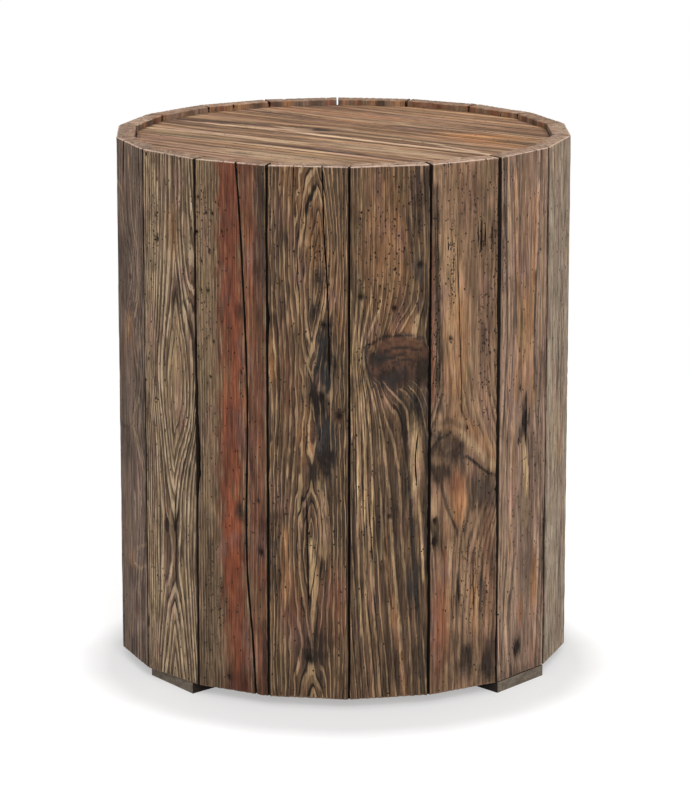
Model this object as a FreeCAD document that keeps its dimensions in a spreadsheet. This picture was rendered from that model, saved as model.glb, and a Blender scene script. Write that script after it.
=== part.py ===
"""Round end table: a drum of mitred staves on four low feet, boarded over just below the rim.

Millimetres. The origin is on the floor under the middle of the drum, +Z is up, and the front
is -Y, where two staves meet. Staves are counted from that joint towards +X.
"""
import FreeCAD, Part
import os

import Sketcher

# Driving sizes: name, value in millimetres, degrees or pieces, and what it measures
DRIVING_SIZES = [
    ("stave_count", 18, "staves round the drum"),
    ("drum_diameter", 508, "across the drum from corner to corner"),
    ("stave_length", 582, "length of a stave"),
    ("stave_thickness", 20, "thickness of a stave"),
    ("stave_gap", 1.6, "open joint between neighbouring staves"),
    ("edge_easing", 1.5, "rounding of the stave edges"),
    ("top_recess", 6, "rim above the top boards"),
    ("plank_thickness", 18, "thickness of a top board"),
    ("plank_count", 6, "top boards"),
    ("rear_plank_width", 70, "board at the rear right, cut narrower than the ones between"),
    ("front_plank_width", 24, "strip at the front left that closes the top"),
    ("plank_angle", 38, "slant of the top boards, from the left to the front"),
    ("plank_gap", 0.8, "open joint between top boards"),
    ("plank_end_gap", 0.8, "between the boards and the inside of the staves"),
    ("panel_thickness", 16, "plywood under the top boards"),
    ("groove_depth", 6, "groove in the staves that holds this plywood"),
    ("base_thickness", 16, "plywood at the bottom"),
    ("rebate_depth", 8, "rebate in the staves that holds the bottom"),
    ("panel_clearance", 0.2, "play of a panel in its groove or rebate"),
    ("foot_height", 12, "height of a foot"),
    ("foot_depth", 50, "depth of a foot towards the middle of the drum"),
    ("foot_inset", 1, "each end of a foot, set in from the stave edges"),
    ("foot_stave", 3, "stave above the front right foot"),
    ("foot_shift", 8, "how far the front left foot sits off its stave"),
    ("foot_skew", 6.8, "how far the front left foot is turned"),
    ("screw_shank", 4, "diameter of a screw"),
    ("screw_head", 8, "diameter of a countersunk screw head"),
    ("screw_recess", 0.5, "depth of a screw head below the wood"),
    ("screw_clearance", 0.05, "play of a screw in its hole"),
    ("screw_cover", 4, "wood left beyond a screw point"),
    ("screw_edge", 14, "from a screw to the edges of a foot"),
]

# Slack for finding edges by their place
PLACE_TOLERANCE = 0.001

doc = FreeCAD.newDocument("round_end_table")
sheet = doc.addObject("Spreadsheet::Sheet", "sizes")
for row, (alias, value, meaning) in enumerate(DRIVING_SIZES, start=1):
    sheet.set(f"A{row}", meaning)
    sheet.set(f"B{row}", str(value))
    sheet.setAlias(f"B{row}", alias)
doc.recompute()


def measure(expression):
    """Value of an expression on the driving sizes."""
    return float(sheet.evalExpression(expression))


# Sizes that follow from the driving ones, as expressions
STAVES = "round(sizes.stave_count)"
HALF_STAVE = f"(180 / {STAVES})"
OUTER_FACE = f"(sizes.drum_diameter / 2 * cos({HALF_STAVE}))"
INNER_FACE = f"({OUTER_FACE} - sizes.stave_thickness)"
HALF_GAP = f"(sizes.stave_gap / 2 / cos({HALF_STAVE}))"
BASE_TOP = "(sizes.foot_height + sizes.base_thickness)"
RIM_HEIGHT = "(sizes.foot_height + sizes.stave_length)"
PLANK_UNDERSIDE = f"({RIM_HEIGHT} - sizes.top_recess - sizes.plank_thickness)"
PLANK_FACE = f"({INNER_FACE} - sizes.plank_end_gap)"
DRUM_RADIUS = "(sizes.drum_diameter / 2)"

parts = []


def finish(piece, label):
    """Give a finished piece the name that it is kept under."""
    piece.Label = label
    parts.append(piece)


def half_width(face):
    """Half the width of a mitred stave at a distance from the middle of the drum."""
    return f"({face} * tan({HALF_STAVE}) - {HALF_GAP})"


def origin_plane(body, role):
    return next(item for item in body.Origin.OriginFeatures if item.Role == role)


def new_sketch(body, name, role):
    sketch = body.newObject("Sketcher::SketchObject", name)
    sketch.AttachmentSupport = (origin_plane(body, role), [""])
    sketch.MapMode = "FlatFace"
    return sketch


def closed_outline(sketch, corners):
    """Four straight lines from corner to corner, each joined to the next."""
    for start, end in zip(corners, corners[1:] + corners[:1]):
        sketch.addGeometry(Part.LineSegment(start, end), False)
    for line in range(len(corners)):
        following = (line + 1) % len(corners)
        sketch.addConstraint(Sketcher.Constraint("Coincident", line, 2, following, 1))


def dimension(sketch, name, kind, points, expression):
    """A named distance of a sketch, bound to the driving sizes."""
    index = sketch.addConstraint(Sketcher.Constraint(kind, *points, measure(expression)))
    sketch.renameConstraint(index, name)
    sketch.setExpression(f"Constraints.{name}", expression)


def wedge_blank(name, outer_half, inner_half, inner_face, length):
    """A board with mitred edges whose outer side lies on the drum's front face."""
    body = doc.addObject("PartDesign::Body", name)
    sketch = new_sketch(body, f"{name}_section", "XY_Plane")
    outer, inner = measure(outer_half), measure(inner_half)
    front, back = -measure(OUTER_FACE), -measure(inner_face)
    closed_outline(sketch, [
        FreeCAD.Vector(-outer, front, 0),
        FreeCAD.Vector(outer, front, 0),
        FreeCAD.Vector(inner, back, 0),
        FreeCAD.Vector(-inner, back, 0),
    ])
    sketch.addConstraint(Sketcher.Constraint("Symmetric", 0, 1, 0, 2, -2))
    sketch.addConstraint(Sketcher.Constraint("Symmetric", 2, 1, 2, 2, -2))
    dimension(sketch, "outer_width", "DistanceX", (0, 1, 0, 2), f"2 * {outer_half}")
    dimension(sketch, "inner_width", "DistanceX", (2, 2, 2, 1), f"2 * {inner_half}")
    dimension(sketch, "outer_face", "DistanceY", (0, 1, -1, 1), OUTER_FACE)
    dimension(sketch, "inner_face", "DistanceY", (2, 1, -1, 1), inner_face)
    pad = body.newObject("PartDesign::Pad", f"{name}_length")
    pad.Profile = sketch
    pad.setExpression("Length", length)
    doc.recompute()
    return body


def cut_seat(body, name, bottom, height, depth):
    """A groove or rebate across the inside of a stave, where a panel sits."""
    before = body.Shape.Volume
    sketch = new_sketch(body, f"{name}_section", "YZ_Plane")
    floor = f"({INNER_FACE} + {depth})"
    low, high = measure(bottom), measure(f"{bottom} + {height}")
    closed_outline(sketch, [
        FreeCAD.Vector(-measure(floor), low, 0),
        FreeCAD.Vector(-measure(INNER_FACE), low, 0),
        FreeCAD.Vector(-measure(INNER_FACE), high, 0),
        FreeCAD.Vector(-measure(floor), high, 0),
    ])
    for line, direction in enumerate(("Horizontal", "Vertical", "Horizontal", "Vertical")):
        sketch.addConstraint(Sketcher.Constraint(direction, line))
    dimension(sketch, "floor", "DistanceX", (0, 1, -1, 1), floor)
    dimension(sketch, "depth", "DistanceX", (0, 1, 0, 2), depth)
    dimension(sketch, "top", "DistanceY", (-1, 1, 2, 1), f"{bottom} + {height}")
    dimension(sketch, "height", "DistanceY", (1, 1, 1, 2), height)
    pocket = body.newObject("PartDesign::Pocket", name)
    pocket.Profile = sketch
    pocket.Type = "ThroughAll"
    pocket.SideType = "Symmetric"
    doc.recompute()
    if before - body.Shape.Volume < PLACE_TOLERANCE:
        raise ValueError(f"{name} cuts nothing")


def ease_edges(body, name):
    """Round the four edges of a stave's outer face and the inner edge of its top end."""
    outer = -measure(OUTER_FACE)
    inner = -measure(INNER_FACE)
    top = measure("sizes.stave_length")
    worn = []
    for index, edge in enumerate(body.Shape.Edges, start=1):
        ends = [vertex.Point for vertex in edge.Vertexes]
        on_face = all(abs(end.y - outer) < PLACE_TOLERANCE for end in ends)
        on_rim = all(
            abs(end.y - inner) < PLACE_TOLERANCE and abs(end.z - top) < PLACE_TOLERANCE for end in ends
        )
        if on_face or on_rim:
            worn.append(f"Edge{index}")
    grooved = body.Tip
    fillet = body.newObject("PartDesign::Fillet", name)
    fillet.Base = (grooved, worn)
    fillet.setExpression("Radius", "sizes.edge_easing")


def turned(angle, x="0", y="0", z="0"):
    """Placement expression: a turn about the upright axis, then a move along the turned axes."""
    spin = f"placement(vector(0; 0; 0); rotation(vector(0; 0; 1); {angle}))"
    move = f"placement(vector({x}; {y}; {z}); rotation(vector(0; 0; 1); 0))"
    return f"{spin} * {move}"


def stave_angle(number):
    return f"(({number} - 0.5) * 2 * {HALF_STAVE})"


# Staves: mitred boards, grooved for the sub-top and rebated for the bottom
GROOVE_HEIGHT = "(sizes.panel_thickness + sizes.panel_clearance)"
GROOVE_FLOOR = f"({PLANK_UNDERSIDE} - sizes.panel_thickness - sizes.foot_height)"

for number in range(1, round(measure(STAVES)) + 1):
    label = f"stave_{number:02d}"
    stave = wedge_blank(
        label, half_width(OUTER_FACE), half_width(INNER_FACE), INNER_FACE, "sizes.stave_length"
    )
    cut_seat(stave, f"{label}_groove", GROOVE_FLOOR, GROOVE_HEIGHT, "sizes.groove_depth")
    cut_seat(stave, f"{label}_rebate", "0", "sizes.base_thickness", "sizes.rebate_depth")
    ease_edges(stave, f"{label}_eased_edges")
    stave.setExpression("Placement", turned(stave_angle(number), z="sizes.foot_height"))
    finish(stave, label)


def panel_blank(name, face, thickness, angle, z):
    """A many-sided panel with one corner in each stave joint."""
    panel = doc.addObject("Part::Prism", name)
    panel.setExpression("Polygon", STAVES)
    panel.setExpression("Circumradius", f"{face} / cos({HALF_STAVE})")
    panel.setExpression("Height", thickness)
    panel.setExpression("Placement", turned(angle, z=z))
    return panel


def screw_bore(name, length, place):
    """Countersunk hole for a screw, from its mouth upwards."""
    radius = "(sizes.screw_shank / 2 + sizes.screw_clearance)"
    mouth_radius = "(sizes.screw_head / 2 + sizes.screw_recess + sizes.screw_clearance)"
    mouth = doc.addObject("Part::Cone", f"{name}_mouth")
    mouth.setExpression("Radius1", mouth_radius)
    mouth.setExpression("Radius2", radius)
    mouth.setExpression("Height", f"{mouth_radius} - {radius}")
    shaft = doc.addObject("Part::Cylinder", f"{name}_shaft")
    shaft.setExpression("Radius", radius)
    shaft.setExpression("Height", f"{length} + sizes.screw_clearance")
    bore = doc.addObject("Part::MultiFuse", name)
    bore.Shapes = [mouth, shaft]
    bore.setExpression("Placement", place)
    return bore


def screw(name, length, place):
    """Countersunk wood screw, its head a little below the wood."""
    radius = "(sizes.screw_shank / 2)"
    head = doc.addObject("Part::Cone", f"{name}_head")
    head.setExpression("Radius1", "sizes.screw_head / 2")
    head.setExpression("Radius2", radius)
    head.setExpression("Height", f"sizes.screw_head / 2 - {radius}")
    head.setExpression("Placement", turned("0", z="sizes.screw_recess"))
    shank = doc.addObject("Part::Cylinder", f"{name}_shank")
    shank.setExpression("Radius", radius)
    shank.setExpression("Height", f"{length} - sizes.screw_recess")
    shank.setExpression("Placement", turned("0", z="sizes.screw_recess"))
    whole = doc.addObject("Part::MultiFuse", name)
    whole.Shapes = [head, shank]
    whole.setExpression("Placement", place)
    return whole


def drilled(name, blank, bores, label):
    """A piece with its screw holes."""
    tools = doc.addObject("Part::Compound", f"{name}_bores")
    tools.Links = bores
    piece = doc.addObject("Part::Cut", name)
    piece.Base = blank
    piece.Tool = tools
    finish(piece, label)


# Feet: wedge-shaped offcuts under the drum, flush with the staves, each held by two screws
FOOT_HALF = f"({half_width(OUTER_FACE)} - sizes.foot_inset)"
FOOT_BACK = f"({OUTER_FACE} - sizes.foot_depth)"
FOOT_BACK_HALF = f"({FOOT_HALF} - sizes.foot_depth * tan({HALF_STAVE}))"
FOOT_SCREW_X = f"({FOOT_BACK_HALF} - sizes.screw_edge)"
FOOT_SCREW_Y = f"(-{FOOT_BACK} - sizes.screw_edge)"
FOOT_SCREW_LENGTH = f"({BASE_TOP} - sizes.screw_cover)"
HALF_ROUND = f"floor({STAVES} / 2)"
FOOT_STAVES = {
    "foot_front_right": "sizes.foot_stave",
    "foot_rear_right": f"({HALF_ROUND} + 1 - sizes.foot_stave)",
    "foot_rear_left": f"({HALF_ROUND} + sizes.foot_stave)",
    "foot_front_left": f"({STAVES} + 1 - sizes.foot_stave)",
}
ASKEW_FOOT = "foot_front_left"


def foot_place(label):
    """A foot under its stave; the front left one is shoved along and turned about its near end."""
    angle = stave_angle(FOOT_STAVES[label])
    if label != ASKEW_FOOT:
        return turned(angle)
    to_near_end = turned(angle, x=f"{FOOT_HALF} - sizes.foot_shift", y=f"-{OUTER_FACE}")
    return f"{to_near_end} * {turned('-sizes.foot_skew', x=f'-{FOOT_HALF}', y=OUTER_FACE)}"


base_bores = []
foot_screws = []
for label in FOOT_STAVES:
    blank = wedge_blank(f"{label}_blank", FOOT_HALF, FOOT_BACK_HALF, FOOT_BACK, "sizes.foot_height")
    blank.setExpression("Placement", foot_place(label))
    foot_bores = []
    for side, sign in (("left", "-"), ("right", "")):
        place = f"{foot_place(label)} * {turned('0', x=f'{sign}{FOOT_SCREW_X}', y=FOOT_SCREW_Y)}"
        foot_bores.append(screw_bore(f"{label}_{side}_bore", FOOT_SCREW_LENGTH, place))
        foot_screws.append(screw(f"{label}_{side}_screw", FOOT_SCREW_LENGTH, place))
    drilled(f"{label}_drilled", blank, foot_bores, label)
    base_bores.extend(foot_bores)
screw_group = doc.addObject("Part::Compound", "screw_group")
screw_group.Links = foot_screws
finish(screw_group, "foot_screws")

# Bottom: plywood in the rebate, level with the stave ends
base_blank = panel_blank(
    "bottom_blank",
    f"({INNER_FACE} + sizes.rebate_depth - sizes.panel_clearance)",
    "sizes.base_thickness",
    "-90",
    "sizes.foot_height",
)
drilled("bottom_drilled", base_blank, base_bores, "bottom_panel")

# Sub-top: plywood in the groove, under the boards
SUB_TOP_UNDERSIDE = f"({PLANK_UNDERSIDE} - sizes.panel_thickness)"
sub_top = panel_blank(
    "sub_top",
    f"({INNER_FACE} + sizes.groove_depth - sizes.panel_clearance)",
    "sizes.panel_thickness",
    "-90",
    SUB_TOP_UNDERSIDE,
)
finish(sub_top, "sub_top_panel")

# Top: boards glued side by side on the sub-top, in a frame turned along the boards
BOARDS = "round(sizes.plank_count)"
BOARD_TURN = "(180 - sizes.plank_angle)"
CORNER_TURN = f"(-90 - {BOARD_TURN})"
REAR_JOINT = f"(sizes.rear_plank_width - {PLANK_FACE})"
FRONT_JOINT = f"({PLANK_FACE} - sizes.front_plank_width)"
BOARD_PITCH = f"(({FRONT_JOINT} - {REAR_JOINT}) / ({BOARDS} - 2))"


def board_edges(number):
    """Where a board starts and ends across the drum, from the rear right to the front left."""
    last = round(measure(BOARDS))
    low = f"({REAR_JOINT} + {number - 2} * {BOARD_PITCH})" if number > 1 else f"(-{DRUM_RADIUS})"
    high = f"({REAR_JOINT} + {number - 1} * {BOARD_PITCH})" if number < last else DRUM_RADIUS
    return low, high


for number in range(1, round(measure(BOARDS)) + 1):
    label = f"top_plank_{number}"
    low, high = board_edges(number)
    strip = doc.addObject("Part::Box", f"{label}_strip")
    strip.setExpression("Length", "sizes.drum_diameter")
    strip.setExpression("Width", f"{high} - {low} - sizes.plank_gap")
    strip.setExpression("Height", "sizes.plank_thickness")
    strip.setExpression("Placement", turned("0", x=f"-{DRUM_RADIUS}", y=f"{low} + sizes.plank_gap / 2"))
    trim = panel_blank(f"{label}_trim", PLANK_FACE, "sizes.plank_thickness", CORNER_TURN, "0")
    board = doc.addObject("Part::Common", f"{label}_board")
    board.Base = strip
    board.Tool = trim
    board.setExpression("Placement", turned(BOARD_TURN, z=PLANK_UNDERSIDE))
    finish(board, label)

doc.recompute()
failed = [item.Name for item in doc.Objects if {"Invalid", "Error"} & set(item.State)]
if failed:
    raise ValueError(f"not built: {failed}")
for piece in parts:
    if piece.Shape.isNull() or not piece.Shape.isValid():
        raise ValueError(f"bad shape: {piece.Label}")

os.makedirs("parts", exist_ok=True)
for piece in parts:
    piece.Shape.exportStep(f"parts/{piece.Label}.step")
print(f"{len(parts)} pieces written")
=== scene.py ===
import math
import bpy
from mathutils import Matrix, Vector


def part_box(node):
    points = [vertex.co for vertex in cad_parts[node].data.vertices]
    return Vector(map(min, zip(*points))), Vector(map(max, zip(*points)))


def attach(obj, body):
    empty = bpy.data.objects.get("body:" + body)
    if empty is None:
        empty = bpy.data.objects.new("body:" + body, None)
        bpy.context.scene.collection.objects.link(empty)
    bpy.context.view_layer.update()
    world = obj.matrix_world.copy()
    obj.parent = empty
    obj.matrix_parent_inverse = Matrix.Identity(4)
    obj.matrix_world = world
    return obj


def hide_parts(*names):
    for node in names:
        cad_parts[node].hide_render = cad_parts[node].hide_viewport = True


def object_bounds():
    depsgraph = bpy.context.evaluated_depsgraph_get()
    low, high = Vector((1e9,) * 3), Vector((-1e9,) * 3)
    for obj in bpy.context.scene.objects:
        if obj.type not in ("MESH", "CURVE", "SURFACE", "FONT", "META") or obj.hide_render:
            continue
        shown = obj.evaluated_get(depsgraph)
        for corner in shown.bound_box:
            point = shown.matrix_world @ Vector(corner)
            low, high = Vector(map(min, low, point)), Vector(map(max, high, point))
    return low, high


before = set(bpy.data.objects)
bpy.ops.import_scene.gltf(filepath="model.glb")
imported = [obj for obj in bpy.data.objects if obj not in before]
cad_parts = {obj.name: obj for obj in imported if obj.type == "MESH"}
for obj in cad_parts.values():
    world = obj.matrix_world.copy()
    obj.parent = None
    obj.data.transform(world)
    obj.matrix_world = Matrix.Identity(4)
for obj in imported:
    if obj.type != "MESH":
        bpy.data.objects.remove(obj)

from types import SimpleNamespace

import bpy
import numpy as np
from mathutils import Vector

cad_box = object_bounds()

# Staves
# The drum is eighteen flat boards of reclaimed pine, mitred along both edges and glued round two
# plywood panels. Wire brushing left the hard rings standing proud of the soft, darkly stained wood
# between them. Old checks, knots, worm holes and a strip of red paint are still in the boards.
MM = 0.001
side_low, side_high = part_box("stave_05")
OUTER_FACE = side_high.x / MM
THICKNESS = (side_high.x - side_low.x) / MM
LENGTH = (side_high.z - side_low.z) / MM
STAVE_TOP = side_high.z / MM
STAVE_COUNT = sum(name.startswith("stave_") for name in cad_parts)
HALF_ANGLE = math.pi / STAVE_COUNT
MITRE = math.tan(HALF_ANGLE)
JOINT_GAP = 1.6
HALF_WIDTH = OUTER_FACE * MITRE - JOINT_GAP / 2 / math.cos(HALF_ANGLE)

# Seats for the panels on the inside: start and end, in millimetres down from the upper end, and depth
PANEL_PLAY = 0.2
GROOVE_DEPTH = 6.0
REBATE_DEPTH = 8.0
sub_top_low, sub_top_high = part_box("sub_top_panel")
_, bottom_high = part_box("bottom_panel")
GROOVE = (STAVE_TOP - sub_top_high.z / MM - PANEL_PLAY, STAVE_TOP - sub_top_low.z / MM, GROOVE_DEPTH)
REBATE = (STAVE_TOP - bottom_high.z / MM, LENGTH, REBATE_DEPTH)

# The inside is in view down to the top boards. Joints are open a little at the rim, deeper between
# two staves at the back, and glued below that.
RIM_HEIGHT = 10.0
RIM_NOTCH = 2.4
OPEN_JOINT = 7.0
OPEN_STAVES = (9, 10)
GLUE_LINE = 0.002


def tint(red, green, blue):
    """Linear colour from the 0 to 255 values that a colour card gives."""
    steps = [value / 255 for value in (red, green, blue)]
    return tuple([v / 12.92 if v < 0.04045 else ((v + 0.055) / 1.055) ** 2.4 for v in steps] + [1.0])


# Colours of the old pine, as they look in plain light; the lip colour is a painted highlight for the rim's
# outer arris
SHARED_CARDS = {
    "warm": (162, 113, 75), "pale": (196, 164, 122), "paint": (110, 67, 51), "bright_paint": (144, 77, 49),
    "stain": (39, 31, 26), "knot": (104, 72, 55), "edge": (160, 134, 114), "edge_dark": (122, 95, 76),
    "lip": (212, 184, 166),
}


def palette(ridge, second, groove, furrow, **own):
    """Colours of one kind of board: its rings from pale to dark, and what else is its own."""
    cards = {**SHARED_CARDS, "ridge": ridge, "second": second, "groove": groove, "furrow": furrow, **own}
    return {use: tint(*card) for use, card in cards.items()}


# Each palette's ridge colour is partly painted sheen, and its furrow colour partly the ridge's painted shadow
PALETTES = {
    "umber": palette((162, 132, 100), (112, 86, 64), (70, 54, 41), (38, 30, 24),
                     edge=(188, 161, 140), edge_dark=(152, 124, 104)),
    "tan": palette((200, 174, 142), (140, 115, 91), (97, 77, 59), (44, 34, 26)),
    "honey": palette((168, 135, 104), (142, 111, 86), (114, 89, 70), (64, 50, 41),
                     edge=(184, 157, 136), edge_dark=(148, 120, 100)),
    "red": palette((156, 131, 102), (132, 108, 84), (108, 87, 67), (70, 54, 42)),
    "pink": palette((212, 174, 147), (162, 132, 111), (119, 96, 80), (76, 60, 50)),
    "grey": palette((196, 176, 153), (174, 153, 131), (138, 118, 99), (84, 70, 58)),
    "dusk": palette((162, 136, 117), (129, 106, 90), (106, 87, 74), (72, 58, 50)),
}

# Boards, drawn in millimetres: down from the upper end, and across from the middle, right positive.
# A guide is a line of the grain: where it runs, and which ring it is there. The fold is the guide on
# which arched grain turns back. Tones are patches (place, half length, half width, strength), strokes
# down the board (line, half width, strength) or strokes across it (line of across and down, half
# height, strength). Cracks have a line, a width and a depth, holes a place and a radius, and edges
# tell how far an edge has worn away.
TONE_COUNT = 6
WARM, PAINT, STAIN, PALE, BRIGHT, PLAIN = range(TONE_COUNT)
END = round(LENGTH)


def straight(across, ring, end=END):
    """Guide that runs straight down a board."""
    return [(0, across, ring), (end, across, ring)]


BOARDS = {}
BOARDS["swirl"] = {
    "guides": [
        straight(-46, 0),
        [(0, -20, 3), (90, -22, 2.5), (150, -10, 1), (200, -14, 3.5), (300, -14, 2.5), (360, -6, 4),
         (480, -14, 3), (END, -14, 4)],
        [(0, 14, 6), (60, 10, 6), (110, 21, 6), (165, 22, 6), (200, 8, 6.5), (260, 16, 6), (318, 2, 6),
         (350, 30, 7), (400, 14, 5), (450, 28, 7), (500, 18, 7), (END, 16, 7)],
        [(0, 46, 11), (200, 46, 10), (340, 48, 10), (END, 46, 10)],
    ],
    "ridge_share": 0.5, "wobble": 0.35, "knots": [(148, -1, 6, 5)],
    "cracks": [
        ([(555, -11), (END, -11)], 3.4, 6), ([(0, -20), (36, -20)], 2.0, 4), ([(0, 31), (34, 31)], 1.4, 4),
    ],
    "tones": [
        (PLAIN, 300, -20, 330, 26, 0.9), (PLAIN, 40, 6, 60, 30, 0.7),
        (PALE, [(284, 20), (300, 8), (318, 8), (330, 18)], 2, 0.6),
        (PALE, [(330, 16), (350, 26), (366, 40)], 2, 0.5),
        (STAIN, [(290, 4), (316, -6), (324, -30)], 2, 0.5), (STAIN, 322, -24, 3, 22, 0.5),
        (PAINT, 235, -30, 24, 8, 0.5), (PAINT, 230, 8, 26, 5, 0.5), (PAINT, 60, -18, 16, 8, 0.4),
        (STAIN, 485, -2, 12, 20, 0.4), (STAIN, 130, -30, 30, 14, 0.4), (PALE, 545, -14, 14, 12, 0.25),
        (WARM, 206, -7, 17, 10, 0.8), (PALE, 207, -8, 6, 4, 0.6), (WARM, 470, -7, 14, 9, 0.6),
        (PAINT, 524, 9, 9, 8, 0.6), (STAIN, 264, 30, 46, 11, 0.4), (STAIN, 150, -28, 40, 14, 0.35),
        (STAIN, [(0, -20), (33, -20)], 2.5, 0.8), (STAIN, [(0, 31), (30, 31)], 2, 0.7),
        (PALE, [(316, 1), (335, 14), (350, 30), (366, 42)], 2.5, 0.5),
        (PALE, [(95, 20), (140, 24), (180, 16)], 2, 0.4),
        (PALE, [(20, -2), (60, 4), (88, 8), (110, 22), (150, 24), (180, 18), (200, 4)], 1.4, 0.7),
        (PALE, [(378, 16), (395, 28), (415, 20)], 2, 0.7),
        (PALE, [(190, 40), (205, 32), (218, 26), (300, 26)], 1.3, 0.6),
        (PALE, "across", [(14, 452), (28, 446), (44, 440)], 2, 0.7),
        (PALE, "across", [(4, 472), (20, 474), (38, 466)], 2, 0.7),
        (PALE, [(480, 24), (520, 18), (END, 20)], 1.3, 0.6),
        (PALE, "across", [(-42, 50), (-28, 56), (-20, 66)], 3, 0.5),
        (PALE, "across", [(-20, 190), (-8, 198), (8, 188)], 3, 0.4),
        (STAIN, [(280, 36), (330, 40), (420, 40)], 2, 0.5),
        (STAIN, [(440, 38), (465, 34), (END, 30)], 3, 0.5), (STAIN, 340, -20, 24, 22, 0.35),
        (STAIN, 100, 38, 80, 5, 0.4), (STAIN, 545, -30, 30, 14, 0.3),
    ],
    "worms": [(60, 22, 26, 12, 0.2)],
}
BOARDS["cathedral"] = {
    "guides": [
        straight(-46, 13),
        [(0, -20, 6), (100, -19, 5.6), (250, -26, 5.4), (330, -21, 5.8), (420, -22, 6.4), (500, -22, 6),
         (END, -27, 5.4)],
        [(0, 7, 1.8), (100, 9, 1.4), (172, 11, 0.2), (245, 12, -2.2), (322, 6, 0.2), (390, 7, 3.2),
         (470, 6, 3.8), (500, 4, 2.4), (END, 5, 0)],
        [(0, 27, 4.8), (120, 29, 4.6), (175, 31, 3), (240, 34, 1.9), (290, 32, 2.4), (340, 25, 4.6),
         (420, 24, 5.6), (END, 30, 4.4)],
        [(0, 46, 9), (240, 48, 4.2), (330, 46, 8), (450, 46, 10), (END, 46, 8)],
    ],
    "fold": 2, "ridge_share": 0.56, "wobble": 0.3, "knots": [(412, -8, 4, 9)],
    "cracks": [
        ([(0, -5), (44, -5)], 1.2, 3), ([(0, 12), (16, 12)], 1.2, 3), ([(266, 3), (312, 4)], 1, 2),
        ([(376, 6), (430, 7), (478, 6)], 1.6, 3),
    ],
    "tones": [
        (PALE, 240, 13, 50, 10, 0.5), (PLAIN, 246, 12, 52, 8, 0.9), (PLAIN, 60, 6, 70, 26, 0.45),
        (PALE, [(452, 18), (490, 18), (522, 20)], 1.6, 0.8), (PALE, [(504, 3), (530, 4), (555, 9)], 2, 0.7),
        (WARM, 85, 6, 32, 10, 0.5), (STAIN, 150, 16, 20, 6, 0.75), (STAIN, 412, -8, 12, 4, 0.9),
        (STAIN, [(380, 7), (430, 8), (490, 8)], 2.6, 0.6),
        (STAIN, [(290, 42), (316, 32), (345, 22)], 3, 0.55),
        (STAIN, [(300, 46), (340, 34), (370, 26)], 2, 0.5), (STAIN, 505, 4, 30, 8, 0.35),
        (PALE, [(400, -14), (440, -16), (500, -18)], 1.6, 0.6),
        (PALE, [(196, 6), (225, 0), (262, -6), (290, -4)], 1.5, 0.5),
        (STAIN, [(140, 26), (180, 38), (240, 44)], 2.5, 0.4),
        (PALE, [(180, 14), (222, 27), (275, 22), (318, 8)], 1.5, 0.5), (PAINT, 190, 36, 60, 6, 0.3),
        (PALE, [(500, 10), (545, 16), (END, 24)], 1.6, 0.5),
        (PALE, [(318, 2), (350, 4), (380, 7)], 1.4, 0.6),
    ],
    "worms": [
        (64, -24, 46, 8, 0.4), (60, 18, 40, 20, 0.2), (260, -28, 60, 10, 0.16), (480, -24, 90, 14, 0.14),
    ],
    "holes": [
        (70, -22, 2.2), (95, -20, 2.4), (252, -28, 1.6), (5, -38, 1.6), (30, -18, 1.4), (50, -26, 1.4),
        (59, 29, 1.5), (56, 15, 1.3), (230, -37, 1.3), (146, 34, 1.4),
    ],
    "edges": {"right": [(0, 0.6), (300, 0.3), (END, 0.4)]},
}
BOARDS["red_split"] = {
    "guides": [
        straight(-46, 0), [(0, -20, 8), (300, -19, 8), (450, -16, 9), (END, -12, 9.5)],
        [(0, 8, 13), (300, 18, 15), (END, 26, 17)], straight(46, 20),
    ],
    "ridge_share": 0.45, "wobble": 0.4,
    "cracks": [
        ([(0, 7), (50, 10.8), (101, 13.7), (171, 17), (248, 19.6), (307, 19.2), (388, 17.6), (454, 19),
         (516, 24.5), (END, 28.4)], 2.8, 10),
    ],
    "tones": [
        (PAINT, [(0, -1), (200, 0), (400, 0), (END, 7)], 15, 1.3),
        (PAINT, [(0, 20), (200, 29), (400, 31), (END, 39)], 14, 0.85),
        (BRIGHT, [(168, 14), (220, 16.5), (285, 17)], 3.5, 1.0), (BRIGHT, 410, 2, 80, 12, 0.7),
        (BRIGHT, 200, 6, 120, 7, 0.4), (BRIGHT, [(50, 18), (130, 24)], 4, 0.5), (STAIN, 380, 9, 11, 6, 0.8),
        (STAIN, 160, 10, 10, 8, 0.55), (STAIN, 70, 37, 100, 9, 0.62),
        (STAIN, [(0, 34), (80, 33), (160, 36)], 3, 0.4), (STAIN, 575, 0, 22, 46, 0.5),
        (STAIN, 540, 40, 50, 5, 0.7), (STAIN, 322, 25, 20, 3, 0.6), (STAIN, 392, 36, 14, 5, 0.55),
        (STAIN, 420, 35, 8, 4, 0.7), (STAIN, 320, -40, 130, 6, 0.35), (STAIN, 500, -30, 100, 12, 0.3),
        (STAIN, 365, 32, 5, 3, 0.6), (PALE, 100, -34, 120, 10, 0.16), (STAIN, 250, 36, 200, 10, 0.22),
    ],
    "worms": [
        (70, -32, 60, 9, 0.4), (150, -30, 60, 9, 0.3), (480, -22, 50, 12, 0.42), (300, -30, 90, 10, 0.16),
    ],
    "holes": [
        (57, -30, 1.7), (57, -22.5, 1.7), (66, -24.5, 1.4), (79, -41.5, 1.7), (76, -11, 1.4),
        (98, -26.5, 1.8), (109, -37, 1.4), (109, -15.5, 1.3), (141, -37, 1.6), (141, -28.5, 2.1),
        (41, -40, 1.4), (46, -14.7, 1.2), (196, -22, 1.5), (235, -26, 1.6), (567, -6, 2.2), (343, -42, 3),
        (422, 35, 2.6), (226, 12, 1.5), (365, 32, 1.4),
    ],
    "edges": {
        "left": [(0, 0.4), (210, 0.3), (270, 1.4), (345, 2.6), (370, 0.4), (END, 0.3)],
        "right": [(0, 0.2), (END, 0.2)],
    },
}
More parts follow.
